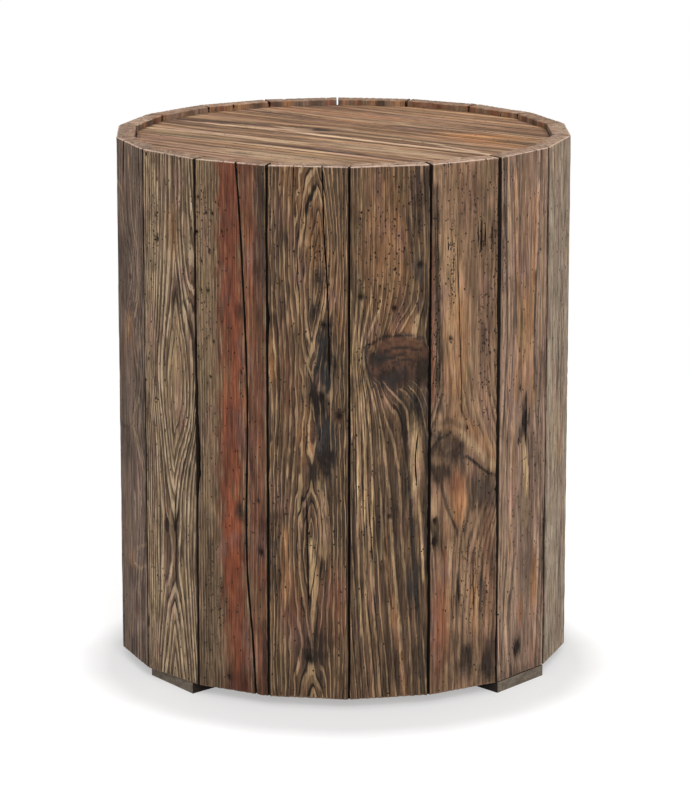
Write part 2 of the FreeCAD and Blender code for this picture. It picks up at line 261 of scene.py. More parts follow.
BOARDS["torn"] = {
    "guides": [
        [(0, -46, 12), (150, -46, 11), (180, -46, 11.2), (END, -46, 12)],
        [(0, -28, 7), (100, -26, 6.6), (200, -18, 6.2), (270, -12, 5.4), (330, -22, 6.2), (450, -26, 6.6),
         (540, -24, 6), (END, -22, 5.6)],
        [(0, 8, 3.4), (50, 12, 1.2), (110, 10, 0), (185, 4, 1.6), (230, 3, 3.4), (290, 5, 3),
         (341, 3, 3.6), (390, 3, 1.2), (480, 1, 2.8), (540, 5, 3.6), (END, 6, 1.8)],
        [(0, 26, 6.4), (100, 30, 6), (200, 25, 6.4), (300, 24, 6.4), (400, 27, 6.4), (500, 28, 6.6),
         (END, 26, 6)],
        straight(46, 11),
    ],
    "fold": 2, "ridge_share": 0.4, "wobble": 0.45, "knots": [(287, 5, 3.5, 13), (268, 33, 5, 8)],
    "cracks": [
        ([(0, 15.3), (78, 17.6), (128, 20.6), (175, 22), (228, 22.5)], 1.6, 6),
        ([(357, -2), (420, -1), (480, 0)], 1.4, 4), ([(0, -15), (44, -16)], 1, 3),
    ],
    "tones": [
        (STAIN, 206, 19, 44, 13, 1.1), (STAIN, 300, 19, 44, 12, 1.1), (STAIN, 256, 12, 28, 8, 1.0),
        (STAIN, 118, 12, 12, 8, 0.85), (STAIN, 158, 6, 12, 5, 0.8), (STAIN, 535, 4, 13, 12, 0.9),
        (STAIN, 165, -38, 8, 7, 0.8), (STAIN, 328, 2, 14, 12, 0.7),
        (STAIN, [(165, -36), (200, -32), (250, -31)], 1.8, 0.6), (WARM, 80, 8, 42, 11, 0.45),
        (STAIN, 365, -1, 10, 6, 0.7), (PALE, [(178, -1), (194, 3), (215, -2)], 2, 0.7),
        (PALE, [(125, 24), (160, 14), (192, 5)], 1.6, 0.6),
        (PALE, [(341, 14), (370, 17), (420, 16)], 3.5, 0.5),
        (PALE, [(345, -8), (360, -10), (388, -8)], 2, 0.5), (PALE, [(411, 2), (450, 5), (489, 5)], 4, 0.95),
        (WARM, [(270, 1), (290, 2), (306, 4)], 1.8, 0.9), (WARM, [(400, -23), (466, -24)], 3, 0.6),
        (PAINT, 475, -16, 34, 10, 0.5), (PAINT, 470, 30, 40, 11, 0.55),
        (STAIN, [(360, -2), (420, -1), (520, 0)], 2.4, 0.6), (STAIN, 430, -36, 40, 9, 0.5),
        (WARM, [(120, 20), (150, 16)], 2, 0.6), (PALE, 242, 20, 7, 4, 0.6), (STAIN, 240, 38, 60, 5, 0.5),
        (PALE, [(30, 2), (62, -4), (110, -12), (150, -10)], 1.4, 0.5), (WARM, 205, -38, 40, 6, 0.6),
        (WARM, 440, -26, 44, 5, 0.75), (WARM, 300, -5, 34, 6, 0.5), (PAINT, 480, 6, 34, 36, 0.3),
        (WARM, 20, -20, 40, 20, 0.3), (STAIN, 522, 9, 16, 10, 0.7), (WARM, 150, 30, 60, 10, 0.3),
        (STAIN, 60, -34, 70, 8, 0.3), (STAIN, [(490, 8), (520, 8), (560, 12)], 3, 0.6),
        (PAINT, 230, -22, 60, 10, 0.25),
    ],
    "worms": [
        (100, 12, 30, 12, 0.6), (60, -40, 60, 6, 0.3), (400, -30, 120, 14, 0.14), (450, 28, 60, 10, 0.2),
    ],
    "holes": [(248, 14, 4), (170, 16, 3), (268, 33, 3), (538, 0, 3)],
    "edges": {"left": [(0, 0), (150, 0.5), (170, 1.2), (200, 0.2), (END, 0)]},
}
BOARDS["big_knot"] = {
    "guides": [
        [(0, -46, 0), (200, -45, 0), (300, -47, 0), (440, -47, -0.8), (END, -47, -2.2)],
        [(0, -19, 6), (100, -20, 6), (150, -23, 5.6), (185, -28, 5), (205, -30, 4.6), (225, -27, 4.6),
         (260, -22, 4.6), (330, -21, 4.2), (420, -21, 3.6), (500, -17, 3.4), (END, -10, 3.4)],
        [(0, 6, 11), (80, 8, 11), (130, 6, 11), (160, 0, 11), (184, -8, 10.6), (205, -12, 10),
         (222, -10, 9.4), (245, -6, 8.6), (280, -3, 7.4), (340, -1, 6.6), (420, 1, 6.2), (500, 8, 6.2),
         (END, 14, 6.2)],
        [(0, 22, 14), (60, 26, 14), (120, 29, 14), (148, 25, 14), (170, 12, 14), (188, 2, 13.6),
         (206, 2, 13), (228, 4, 11), (260, 9, 9), (300, 10, 8), (400, 14, 7.6), (500, 22, 7.6),
         (END, 27, 7.6)],
        [(0, 46, 17), (80, 46, 17), (120, 45, 17), (150, 43, 16.6), (172, 34, 16), (188, 26, 15.4),
         (206, 22, 14.6), (228, 22, 12.6), (245, 23, 11), (300, 27, 10), (400, 34, 9.8), (500, 40, 10),
         (END, 46, 10)],
        [(0, 76, 22), (150, 76, 21), (206, 60, 18), (300, 60, 13), (END, 76, 13)],
    ],
    "ridge_share": 0.36, "wobble": 0.16, "knots": [(211, 11, 35, 27)],
    "cracks": [([(287, 31), (320, 28), (350, 30)], 1.6, 3)],
    "tones": [
        (STAIN, 229, 2, 14, 28, 0.9), (STAIN, 222, 36, 20, 13, 0.9), (STAIN, 206, -12, 10, 12, 0.9),
        (PAINT, 192, 12, 10, 28, 0.4), (BRIGHT, 190, 26, 8, 10, 0.5),
        (STAIN, "across", [(-18, 204), (0, 206), (16, 202)], 1.8, 1.0),
        (STAIN, "across", [(-4, 198), (12, 195), (30, 199)], 1.4, 0.9),
        (STAIN, "across", [(-26, 194), (-8, 184), (14, 182), (44, 188)], 2, 0.9),
        (STAIN, "across", [(4, 212), (18, 209), (34, 213)], 1.6, 0.8),
        (STAIN, [(188, -24), (205, -26), (224, -22)], 1.8, 0.9), (STAIN, 262, 30, 18, 12, 0.95),
        (STAIN, 185, 40, 14, 5, 0.8),
        (STAIN, [(250, 12), (300, 17), (360, 21), (430, 27), (480, 30)], 4, 0.85),
        (STAIN, 456, 26, 28, 9, 0.8), (STAIN, [(290, 41), (380, 40), (440, 42)], 3, 0.8),
        (STAIN, 545, 34, 44, 10, 0.55), (PALE, 318, 27, 52, 6, 0.8), (PLAIN, 318, 27, 56, 7, 0.7),
        (PALE, [(366, 32), (400, 35), (446, 37)], 1.2, 0.9),
        (STAIN, [(300, -41), (380, -40), (470, -36), (END, -30)], 2.2, 0.6),
        (STAIN, [(270, -14), (370, -10), (470, -4), (560, 6)], 3, 0.55),
        (STAIN, [(330, 6), (400, 8), (520, 15)], 2.5, 0.5), (WARM, 85, -6, 76, 28, 0.45),
        (PLAIN, 70, 0, 86, 46, 0.5), (PLAIN, 420, 38, 130, 12, 0.6), (STAIN, 130, -36, 20, 7, 0.6),
        (STAIN, 118, 34, 26, 8, 0.7), (STAIN, 40, 32, 40, 12, 0.5),
        (STAIN, [(60, 20), (90, 24), (120, 27)], 2.2, 0.8), (STAIN, 150, 36, 18, 8, 0.6),
        (STAIN, 60, -20, 60, 20, 0.2), (WARM, [(470, 6), (530, 12), (END, 18)], 3, 0.5),
        (WARM, [(400, -5), (460, -1), (500, 3)], 2, 0.5),
        (PALE, [(140, -42), (180, -43), (215, -43), (260, -42), (330, -41), (400, -41)], 0.9, 0.9),
        (PALE, [(120, -34), (160, -37), (190, -39.5), (215, -39.5), (250, -37), (300, -35), (400, -34),
         (500, -31)], 0.9, 0.9),
        (PALE, [(130, -28), (165, -32), (192, -35.5), (215, -35.5), (245, -32), (300, -28), (400, -27),
         (500, -24)], 0.9, 0.9),
        (PALE, [(140, -20), (170, -27), (194, -31.5), (214, -31.5), (240, -27), (300, -20), (400, -19),
         (500, -16)], 0.9, 0.9),
        (PALE, [(150, -10), (175, -21), (195, -27.5), (213, -28), (236, -22), (270, -14), (330, -10),
         (420, -9)], 0.9, 0.9),
        (WARM, 172, 10, 10, 14, 0.5), (STAIN, [(230, -40), (260, -36), (300, -30)], 1.6, 0.5),
        (STAIN, 390, -10, 40, 5, 0.6), (STAIN, 385, 4, 26, 4, 0.6), (STAIN, 20, 38, 26, 8, 0.5),
    ],
    "worms": [
        (90, -4, 80, 30, 0.4), (40, 26, 40, 16, 0.4), (380, -20, 40, 14, 0.3), (480, 22, 60, 14, 0.12),
    ],
    "holes": [(107, 33, 3), (139, -31, 3.2), (153, 5, 3), (380, 0, 2)],
    "edges": {"right": [(0, 0.9), (40, 0.3), (150, 0.5), (420, 0.9), (END, 0.5)]},
}
BOARDS["honey"] = {
    "guides": [
        [(0, -46, 0), (260, -46, 0), (300, -60, 0), (360, -56, 0), (430, -46, 0), (END, -46, 0)],
        [(0, -36, 2), (120, -34, 2), (200, -29, 2), (255, -28, 2), (285, -40, 2), (310, -52, 2),
         (350, -46, 2), (420, -36, 2), (END, -33, 2)],
        [(0, -18, 4), (200, -14, 4), (262, -6, 4), (300, 10, 4.4), (330, 18, 5), (360, 12, 5),
         (400, -2, 4.6), (450, -10, 4.4), (END, -14, 4.4)],
        [(0, 12, 7), (150, 12, 7), (240, 14, 7), (285, 26, 7), (335, 44, 7.4), (380, 36, 8), (420, 22, 8),
         (480, 16, 8), (END, 14, 8)],
        [(0, 36, 11), (200, 36, 11), (260, 42, 11), (320, 58, 11), (380, 50, 11.4), (450, 42, 12),
         (END, 40, 12)],
        [(0, 50, 14), (260, 54, 14), (330, 72, 14), (450, 56, 14), (END, 52, 14)],
    ],
    "ridge_share": 0.7, "wobble": 0.3,
    "cracks": [
        ([(85, -11), (180, -7), (280, -3)], 1.0, 1.6), ([(62, 15), (98, 16)], 1.3, 2),
        ([(57, 20), (101, 20)], 1.5, 2), ([(68, 25), (96, 25)], 1.3, 2), ([(64, 33), (101, 33)], 1.5, 2),
        ([(430, 12), (500, 13)], 1.2, 2),
    ],
    "tones": [
        (PLAIN, 140, 2, 150, 40, 0.85), (PLAIN, 345, 0, 62, 46, 0.95), (PLAIN, 520, -30, 90, 14, 0.8),
        (PLAIN, 40, 0, 50, 44, 0.7), (PLAIN, 556, 20, 30, 26, 0.7),
        (STAIN, [(30, -38), (120, -36), (190, -33), (240, -31), (262, -33)], 3.8, 0.8),
        (PAINT, [(90, -42), (150, -42), (250, -40)], 2.2, 0.8), (PALE, 130, -16, 110, 10, 0.3),
        (WARM, 200, -12, 90, 14, 0.7),
        (STAIN, "across", [(-46, 302), (-30, 305), (-14, 309), (-2, 318)], 20, 0.8),
        (STAIN, "across", [(-46, 332), (-34, 336), (-20, 334)], 12, 0.85),
        (STAIN, "across", [(-42, 292), (-30, 298), (-18, 293)], 3, 1.0),
        (STAIN, "across", [(-40, 282), (-20, 280), (0, 290)], 4, 0.5),
        (PALE, "across", [(-4, 297), (10, 308), (24, 324), (40, 338)], 7, 0.5),
        (WARM, "across", [(0, 286), (14, 296), (30, 314), (42, 330)], 10, 0.5),
        (STAIN, "across", [(4, 322), (18, 333), (32, 344), (46, 347)], 2.4, 1.0),
        (STAIN, "across", [(12, 358), (28, 364), (46, 370)], 22, 0.75), (WARM, 368, -7, 30, 9, 1.0),
        (PAINT, 350, -12, 12, 10, 0.6), (STAIN, [(350, -29), (372, -23), (402, -9)], 2, 0.85),
        (STAIN, [(352, 4), (376, 7), (400, 2)], 2, 0.6), (STAIN, 402, -36, 22, 6, 0.85),
        (PAINT, 420, -24, 50, 8, 0.5), (PAINT, 510, -30, 60, 13, 0.8), (BRIGHT, 490, -30, 44, 10, 0.7),
        (WARM, 470, -22, 60, 5, 0.6), (STAIN, 548, 4, 22, 14, 0.85), (STAIN, 556, 32, 26, 13, 0.9),
        (PALE, 560, 18, 18, 3, 0.5), (PAINT, 440, 32, 90, 10, 0.45), (STAIN, 430, 38, 60, 4, 0.5),
        (WARM, 490, 14, 40, 5, 0.7), (STAIN, [(455, -8), (476, -6)], 2, 0.9), (STAIN, 480, 24, 40, 4, 0.7),
        (STAIN, 30, 14, 30, 24, 0.25), (PAINT, 30, -4, 40, 20, 0.2),
        (STAIN, [(500, -14), (540, -12)], 1.6, 0.6), (STAIN, 210, 22, 40, 3, 0.4),
        (STAIN, 130, 30, 120, 4, 0.3),
    ],
    "worms": [
        (110, -18, 54, 5, 0.95), (80, 20, 24, 6, 1.0), (84, 33, 20, 3, 1.0), (120, 40, 120, 5, 0.7),
        (40, 0, 44, 36, 0.26), (450, 8, 60, 20, 0.5), (470, 26, 50, 8, 0.5), (200, -36, 60, 5, 0.9),
        (120, -36, 60, 4, 0.8), (200, 28, 80, 12, 0.45),
    ],
    "holes": [(190, -18, 2.6), (388, -36, 3.4), (412, -37, 4), (186, 27, 1.6)],
    "edges": {
        "left": [(0, 0.6), (60, 0.2), (END, 0.3)],
        "right": [(0, 1.6), (70, 2.4), (160, 2.0), (250, 1.7), (345, 1.6), (400, 0.8), (END, 0.6)],
    },
}
BOARDS["lens"] = {
    "guides": [
        straight(-46, 0),
        [(0, -36, 1), (50, -33, 1), (120, -29, 1), (200, -27, 1), (270, -30, 1), (300, -34, 1),
         (420, -34, 1), (470, -38, 1), (520, -38, 1), (END, -32, 1)],
        [(0, -20, 2.5), (39, -17, 2.5), (147, -12, 2.5), (194, -9, 2.5), (264, -15, 2.5), (330, -21, 2.5),
         (458, -21, 2.5), (504, -27, 2.5), (END, -22, 2.5)],
        straight(3, 3.1),
        [(0, 26, 3.5), (97, 23, 3.5), (194, 18, 3.5), (272, 20, 3.5), (349, 29, 3.5), (427, 32, 3.5),
         (508, 29, 3.5), (END, 26, 3.5)],
        straight(46, 6.5),
    ],
    "ridge_share": 0.34, "wobble": 0.12,
    "cracks": [
        ([(262, 6), (290, 7), (324, 6)], 3, 5), ([(285, 0), (316, -2)], 1.4, 3),
        ([(280, 12), (312, 12)], 1.2, 3),
    ],
    "tones": [
        (PLAIN, 290, 0, 330, 40, 0.7),
        (WARM, [(20, -18), (100, -15), (150, -11.5), (200, -9.5), (262, -14)], 2.4, 1.0),
        (WARM, [(50, 21), (150, 16.5), (200, 16), (272, 18)], 2.6, 1.0), (WARM, 205, 4, 66, 13, 0.75),
        (WARM, 60, 2, 70, 12, 0.25), (PALE, 225, 2, 34, 8, 0.3),
        (STAIN, [(140, 21.5), (200, 20.5), (258, 21.5)], 2.4, 0.7),
        (STAIN, [(40, -20), (140, -15), (200, -12)], 1.2, 0.6), (STAIN, 296, 5, 26, 6, 1.0),
        (STAIN, 312, -5, 12, 3, 0.8), (PALE, [(320, 3), (345, 6), (376, 9)], 3.8, 1.5),
        (PALE, [(392, 9), (408, 10)], 2, 1.2), (STAIN, [(318, 11), (350, 14), (380, 14)], 1.6, 0.8),
        (STAIN, 425, 8, 60, 14, 0.4), (STAIN, 345, 20, 40, 8, 0.4), (WARM, 482, 24, 34, 6, 0.9),
        (WARM, 510, -1, 16, 4, 0.9), (STAIN, 551, -6, 13, 7, 1.0), (STAIN, 60, -38, 100, 3, 0.6),
        (STAIN, [(230, 34), (300, 30)], 2, 0.6), (WARM, [(300, -18), (380, -18), (440, -22)], 3, 0.6),
        (PALE, [(300, -21), (380, -21), (440, -24), (500, -29), (570, -24)], 1.2, 0.8),
        (STAIN, [(440, -26), (500, -32), (560, -35)], 1.6, 0.6), (STAIN, 450, 42, 60, 4, 0.7),
        (STAIN, 240, 36, 26, 8, 0.45), (PALE, [(80, 34), (150, 33), (232, 33)], 1.2, 0.7),
        (STAIN, 10, 0, 26, 22, 0.14), (PALE, [(0, -31), (60, -30), (150, -27), (250, -27)], 1.2, 0.7),
        (STAIN, [(0, -34), (60, -33), (200, -30), (300, -35)], 1.2, 0.7),
        (PALE, [(300, -34), (420, -35), (470, -37)], 1, 0.7),
        (STAIN, [(300, 34), (420, 36), (500, 34)], 1.4, 0.5), (WARM, 560, 24, 20, 5, 0.6),
        (STAIN, 580, 0, 8, 44, 0.4),
    ],
    "worms": [(100, -36, 70, 5, 0.5), (410, -14, 50, 8, 0.2), (300, 24, 40, 6, 0.3)],
    "holes": [(258, -3, 2.6), (318, -6, 2.6), (350, 26, 2)],
    "edges": {
        "left": [(0, 0.6), (120, 0.9), (240, 0.5), (END, 0.3)],
        "right": [(0, 0.2), (380, 0.4), (430, 1.8), (465, 1.4), (500, 0.3), (END, 0.2)],
    },
}
BOARDS["straight"] = {
    "guides": [
        straight(-46, 0), [(0, 0, 8), (200, 2, 8), (400, -2, 8), (END, 0, 8)], straight(46, 17),
    ],
    "ridge_share": 0.55, "wobble": 0.5,
    "cracks": [([(0, 18), (60, 19)], 0.8, 2), ([(180, 2), (290, 3)], 0.8, 2)],
    "tones": [
        (PALE, 320, -10, 70, 20, 0.25), (WARM, 330, 14, 40, 10, 0.45),
        (STAIN, [(150, 14), (210, 16), (290, 14)], 2, 0.5), (WARM, 20, -20, 30, 16, 0.3),
        (STAIN, 100, 28, 40, 6, 0.35), (STAIN, 200, -30, 16, 4, 0.4), (STAIN, 260, 8, 40, 4, 0.35),
        (STAIN, 500, 20, 50, 8, 0.4), (STAIN, 560, -30, 30, 12, 0.3), (STAIN, 140, -6, 20, 3, 0.4),
    ],
    "worms": [(120, 10, 80, 20, 0.1), (540, 20, 40, 20, 0.1)],
    "edges": {"left": [(0, 0.2), (END, 0.6)]},
}

# Which board stands where: its drawing, palette, and whether it is turned over or upside down
STAVES = {
    1: ("big_knot", "umber", 1, False), 2: ("honey", "honey", 1, False),
    3: ("lens", "pink", 1, False), 4: ("straight", "grey", 1, False),
    5: ("cathedral", "grey", -1, True), 6: ("torn", "tan", -1, False),
    7: ("lens", "honey", -1, True), 8: ("red_split", "red", -1, True),
    9: ("big_knot", "tan", -1, True), 10: ("swirl", "dusk", -1, False),
    11: ("straight", "honey", 1, True), 12: ("honey", "pink", -1, True),
    13: ("cathedral", "umber", -1, False), 14: ("straight", "dusk", -1, True),
    15: ("swirl", "dusk", 1, False), 16: ("cathedral", "tan", 1, False),
    17: ("red_split", "red", 1, False), 18: ("torn", "umber", 1, False),
}


# Reading a drawing: smooth lines through its points, frayed patches, and the rings between its guides
def ease(first, last, first_climb, last_climb, span, t):
    """Smooth step between two values that leaves and arrives with the given climbs."""
    rest = 1 - t
    curve = first * rest * rest * (1 + 2 * t) + last * t * t * (3 - 2 * t)
    return curve + span * t * rest * (first_climb * rest - last_climb * t)


def flowing(places, values, at):
    """Smooth curve through a few chosen points, carried on straight past its ends."""
    places = np.asarray(places, float)
    values = np.asarray(values, float)
    slopes = np.gradient(values, places)
    held = np.clip(at, places[0], places[-1])
    index = np.clip(np.searchsorted(places, held) - 1, 0, len(places) - 2)
    span = places[index + 1] - places[index]
    t = (held - places[index]) / span
    curve = ease(values[index], values[index + 1], slopes[index], slopes[index + 1], span, t)
    return curve + np.where(at > held, slopes[-1], slopes[0]) * (at - held)


def follow(line, at):
    """Path of a drawn line at each place, and how far the place lies past the line's ends."""
    held = np.clip(at, line[0][0], line[-1][0])
    return flowing(*zip(*line), held), np.abs(at - held)


WAVES = 7
WAVE_HEIGHT = 1.8


def wander(seed, across, down, reach_across, reach_down):
    """Smooth random swells between about -1 and 1, of the given reach in millimetres."""
    draw = np.random.default_rng(seed)
    total = 0
    for _ in range(WAVES):
        heading = draw.uniform(0, math.tau)
        pace = draw.uniform(0.6, 1.7) * math.tau
        start = draw.uniform(0, math.tau)
        turn = across / reach_across * math.cos(heading) + down / reach_down * math.sin(heading)
        total = total + np.sin(pace * turn + start)
    return total / WAVES * WAVE_HEIGHT


def patch(down, across, spot, seed, fray):
    """Soft-edged patch or stroke with an outline frayed across and down, and tapered ends."""
    fray_across, fray_down, taper = fray
    ragged = 0.3 * wander(seed, across, down, 9, 40)
    ragged = ragged + 0.15 * wander(seed + 7, across, down, fray_across, fray_down)
    if spot[0] == "across":
        _, line, half_height, strength = spot
        path, past = follow(line, across)
        reach = np.hypot(past / 3, (down - path) / half_height)
    elif isinstance(spot[0], list):
        line, half_width, strength = spot
        path, past = follow(line, down)
        reach = np.hypot(past / taper, (across - path) / half_width)
    else:
        at_down, at_across, half_length, half_width, strength = spot
        reach = np.hypot((down - at_down) / half_length, (across - at_across) / half_width)
    return strength * np.clip(1.5 - (reach + ragged), 0, 1) ** 1.3


def ring_numbers(board, across, down):
    """Ring number at each point, drawn smoothly between the guides and sharply over the fold."""
    runs = []
    numbers = []
    for guide in board["guides"]:
        places, path, count = zip(*guide)
        runs.append(flowing(places, path, down))
        numbers.append(flowing(places, count, down))
    spans = [right - left for left, right in zip(runs, runs[1:])]
    climbs = [(high - low) / span for low, high, span in zip(numbers, numbers[1:], spans)]
    rings = numbers[0] + climbs[0] * (across - runs[0])
    for n, climb in enumerate(climbs):
        first = climb if n in (0, board["fold"]) else (climbs[n - 1] + climb) / 2
        last = climb if n + 1 in (len(climbs), board["fold"]) else (climb + climbs[n + 1]) / 2
        t = np.clip((across - runs[n]) / spans[n], 0, 1)
        curve = ease(numbers[n], numbers[n + 1], first, last, spans[n], t)
        rings = np.where(across >= runs[n], curve, rings)
    return np.where(across > runs[-1], numbers[-1] + climbs[-1] * (across - runs[-1]), rings)


STRAY_WORMS = 0.07
KNOT_RING = 3.5
TONE_SEEDS = 31
WORM_SEEDS = 37


def draw_grain(board, across, down, seed):
    """Rings, tones, worm holes and knots of a board at each point of its face."""
    rings = ring_numbers(board, across, down)
    sway = 0.5 * wander(seed, across, down, 26, 110) + 0.3 * wander(seed + 1, across, down, 9, 34)
    rings = rings + board["wobble"] * sway
    knot = np.zeros_like(across)
    for at_down, at_across, half_width, half_height in board["knots"]:
        reach = np.hypot((across - at_across) / half_width, (down - at_down) / half_height)
        reach = reach * (1 + 0.16 * wander(seed + 2, across, down, 22, 18))
        inside = np.clip((1.06 - reach) * 7, 0, 1)
        rings = rings * (1 - inside) + (reach * max(half_width, half_height) / KNOT_RING) * inside
        knot = np.maximum(knot, inside)
    tones = np.zeros(across.shape + (TONE_COUNT,))
    for number, (tone, *spot) in enumerate(board["tones"]):
        drawn = patch(down, across, spot, seed * TONE_SEEDS + number, board["fray"])
        tones[..., tone] = np.maximum(tones[..., tone], drawn)
    worm = np.full_like(across, STRAY_WORMS)
    for number, spot in enumerate(board["worms"]):
        worm = np.maximum(worm, patch(down, across, spot, seed * WORM_SEEDS + number, board["fray"]))
    return rings, tones, worm, knot


def ridge_height(rings):
    """Height of the brushed rings, left out where they run too close for the mesh to follow."""
    rise = 0.5 + 0.5 * np.cos(math.tau * (rings - 0.5))
    pace = np.abs(np.gradient(rings, axis=1))
    return 1 - (1 - rise) * np.clip(1.5 - 3.5 * pace, 0, 1)


# Mesh of a board: a block of points in rows down, layers through and columns across
FINE_LAYERS = 4
LAYER_SHARES = (0, 0.03, 0.075, 0.14, 0.22, 0.42, 0.62, 0.8, 0.93, 1)
COLUMN_STEP = 1.0
ROW_STEP = 2.6
END_ROWS = [0, 0.5, 1.0, 1.6, 2.4, 3.4]
FIRST_STEP = 5.2
SEAT_CUT = 0.1
SEAT_CLEAR = 0.6
EDGE_BAND = 3.5
LEAST_WEAR = 0.12
CRACK_TAPER = 12
HAIR_CRACK = 0.1
CRACK_STOPS = (-1, -0.9, -0.5, 0.5, 0.9, 1)
CRACK_BED = (0.05, 1, 1, 0.05)


def draw_crack(crack, down):
    """Path, half width and depth of a crack at each row; past its ends it closes to a hair."""
    line, width, depth = crack
    start, end = line[0][0], line[-1][0]
    path, _ = follow(line, down)
    taper = np.clip((down - start) / CRACK_TAPER + (start <= 0), 0, 1)
    taper = taper * np.clip((end - down) / CRACK_TAPER + (end >= LENGTH), 0, 1)
    ragged = 0.85 + 0.15 * np.sin(down * 0.21) * np.sin(down * 0.057 + 1)
    return path, HAIR_CRACK + width / 2 * taper * ragged, depth * np.sqrt(taper)


def stave_rows():
    """Row places down a stave: finer at its ends, and split where the panel seats begin and end."""
    steps = np.linspace(FIRST_STEP, LENGTH - FIRST_STEP, round((LENGTH - 2 * FIRST_STEP) / ROW_STEP))
    seats = [place + way * SEAT_CUT for place in (GROOVE[0], GROOVE[1], REBATE[0]) for way in (-1, 1)]
    steps = [step for step in steps if min(abs(step - seat) for seat in seats) > SEAT_CLEAR]
    rows = np.array(sorted(END_ROWS + steps + seats + [LENGTH - end for end in END_ROWS]))
    rim_rows = int(np.argmin(abs(rows - RIM_HEIGHT)))
    bands = [rim_rows] + [int(np.argmin(abs(rows - seat))) for seat in seats] + [len(rows) - 1]
    return rows, bands, rim_rows


def stave_columns(board, down, left, right, turned):
    """Column places for each row, with one column on each lip of a crack and four in its dark."""
    cracks = [draw_crack(crack, down) for crack in board["cracks"]]
    cracks = [(turned * path, half, depth) for path, half, depth in cracks]
    edge_count = round(EDGE_BAND / COLUMN_STEP * 2)
    spans = [(left, left + EDGE_BAND, edge_count)]
    beds = []
    last = left + EDGE_BAND
    for path, half, depth in sorted(cracks, key=lambda crack: crack[0].mean()):
        spans.append((last, path - half, max(1, round(float(np.mean(path - half - last)) / COLUMN_STEP))))
        stops = [path + share * half for share in CRACK_STOPS]
        first = sum(count for _, _, count in spans) + 1
        spans += [(start, end, 1) for start, end in zip(stops, stops[1:])]
        beds += [(first + step, share * depth) for step, share in enumerate(CRACK_BED)]
        last = path + half
    spans.append((last, right - EDGE_BAND, round(float(np.mean(right - EDGE_BAND - last)) / COLUMN_STEP)))
    spans.append((right - EDGE_BAND, right, edge_count))
    columns = [start + (end - start) * step / count for start, end, count in spans for step in range(count)]
    return np.stack(columns + [right], 1), beds


def worn_edge(board, side, down, seed):
    """How far an edge of the board has worn back, row by row."""
    unworn = [(0, 0), (LENGTH, 0)]
    inset = flowing(*zip(*board["edges"].get(side, unworn)), down)
    ragged = 0.25 * wander(seed, 0, down, 1, 55) + 0.12 * wander(seed + 1, 0, down, 1, 14)
    return LEAST_WEAR + np.maximum(inset + ragged, 0)


def quads(grid):
    """Four-sided faces over a grid of points."""
    return np.stack([grid[:-1, :-1], grid[1:, :-1], grid[1:, 1:], grid[:-1, 1:]], -1).reshape(-1, 4).tolist()


def outline(grid):
    """One face round the border of a grid of points."""
    return np.concatenate([grid[:-1, 0], grid[-1, :-1], grid[:0:-1, -1], grid[0, :0:-1]]).tolist()


def board_faces(rows, columns, bands, rim_rows, open_rows):
    """Faces of a board: fine on its face, upper end and arrises, plain on the sides that are hidden."""
    layers = len(LAYER_SHARES)
    ids = np.arange(rows * layers * columns).reshape(rows, layers, columns)
    faces = quads(ids[:, 0]) + quads(ids[0].T) + quads(ids[: rim_rows + 1, -1].T)
    faces += quads(ids[-1][: FINE_LAYERS + 1])
    hidden = [outline(ids[-1][FINE_LAYERS:])]
    for side, way in ((ids[:, :, 0].T, 1), (ids[:, :, -1].T, -1)):
        faces += quads(side[: FINE_LAYERS + 1][:, ::way])
        deep = side[FINE_LAYERS:]
        runs = [deep]
        if open_rows:
            faces += quads(deep[:, open_rows : open_rows + 2][:, ::way])
            runs = [deep[:, : open_rows + 1], deep[:, open_rows + 1 :]]
        hidden += [outline(run[:, ::way]) for run in runs]
    for first, last in zip(bands, bands[1:]):
        hidden.append(outline(ids[first : last + 1, -1].T))
    return faces, hidden


def round_arrises(places, sizes, radius, sink):
    """Round the edges of a block and sink its skin, for points given by their distance from its corner."""
    pulls = []
    for place, size in zip(places, sizes):
        near = np.minimum(place, size - place)
        side = np.where(place < size - place, 1, -1)
        pulls.append(np.minimum(near - radius, 0) * side)
    length = np.sqrt(sum(pull * pull for pull in pulls))
    stretch = (radius - sink) / np.maximum(length, 1e-6) - 1
    return [place + pull * stretch for place, pull in zip(places, pulls)]


def together(*channels):
    """Channels of a drawing put together point by point."""
    return np.stack(np.broadcast_arrays(*channels), -1)


ATTRIBUTE_KINDS = {0: ("FLOAT", "value"), 3: ("FLOAT_VECTOR", "vector"), 4: ("FLOAT_COLOR", "color")}


def make_board(name, points, faces, hidden, drawing):
    """Mesh object from a block of points, with only the points that its faces use, and its drawing."""
    rings = [np.array(ring) for ring in hidden]
    used, order = np.unique(np.concatenate([np.ravel(faces)] + rings), return_inverse=True)
    ends = np.cumsum([4 * len(faces)] + [len(ring) for ring in rings])
    corners = order[: ends[0]].reshape(-1, 4).tolist()
    corners += [order[start:end].tolist() for start, end in zip(ends, ends[1:])]
    mesh = bpy.data.meshes.new(name)
    mesh.from_pydata((points.reshape(-1, 3)[used] * MM).tolist(), [], corners)
    mesh.polygons.foreach_set("use_smooth", np.arange(len(corners)) < len(faces))
    for label, values in drawing.items():
        channels = values.shape[3:]
        kind, channel = ATTRIBUTE_KINDS[sum(channels)]
        spread = np.broadcast_to(values, points.shape[:3] + channels).reshape(-1, *channels)
        layer = mesh.attributes.new(label, kind, "POINT")
        layer.data.foreach_set(channel, spread[used].ravel().astype(np.float32))
    board = bpy.data.objects.new(name, mesh)
    bpy.context.scene.collection.objects.link(board)
    return board


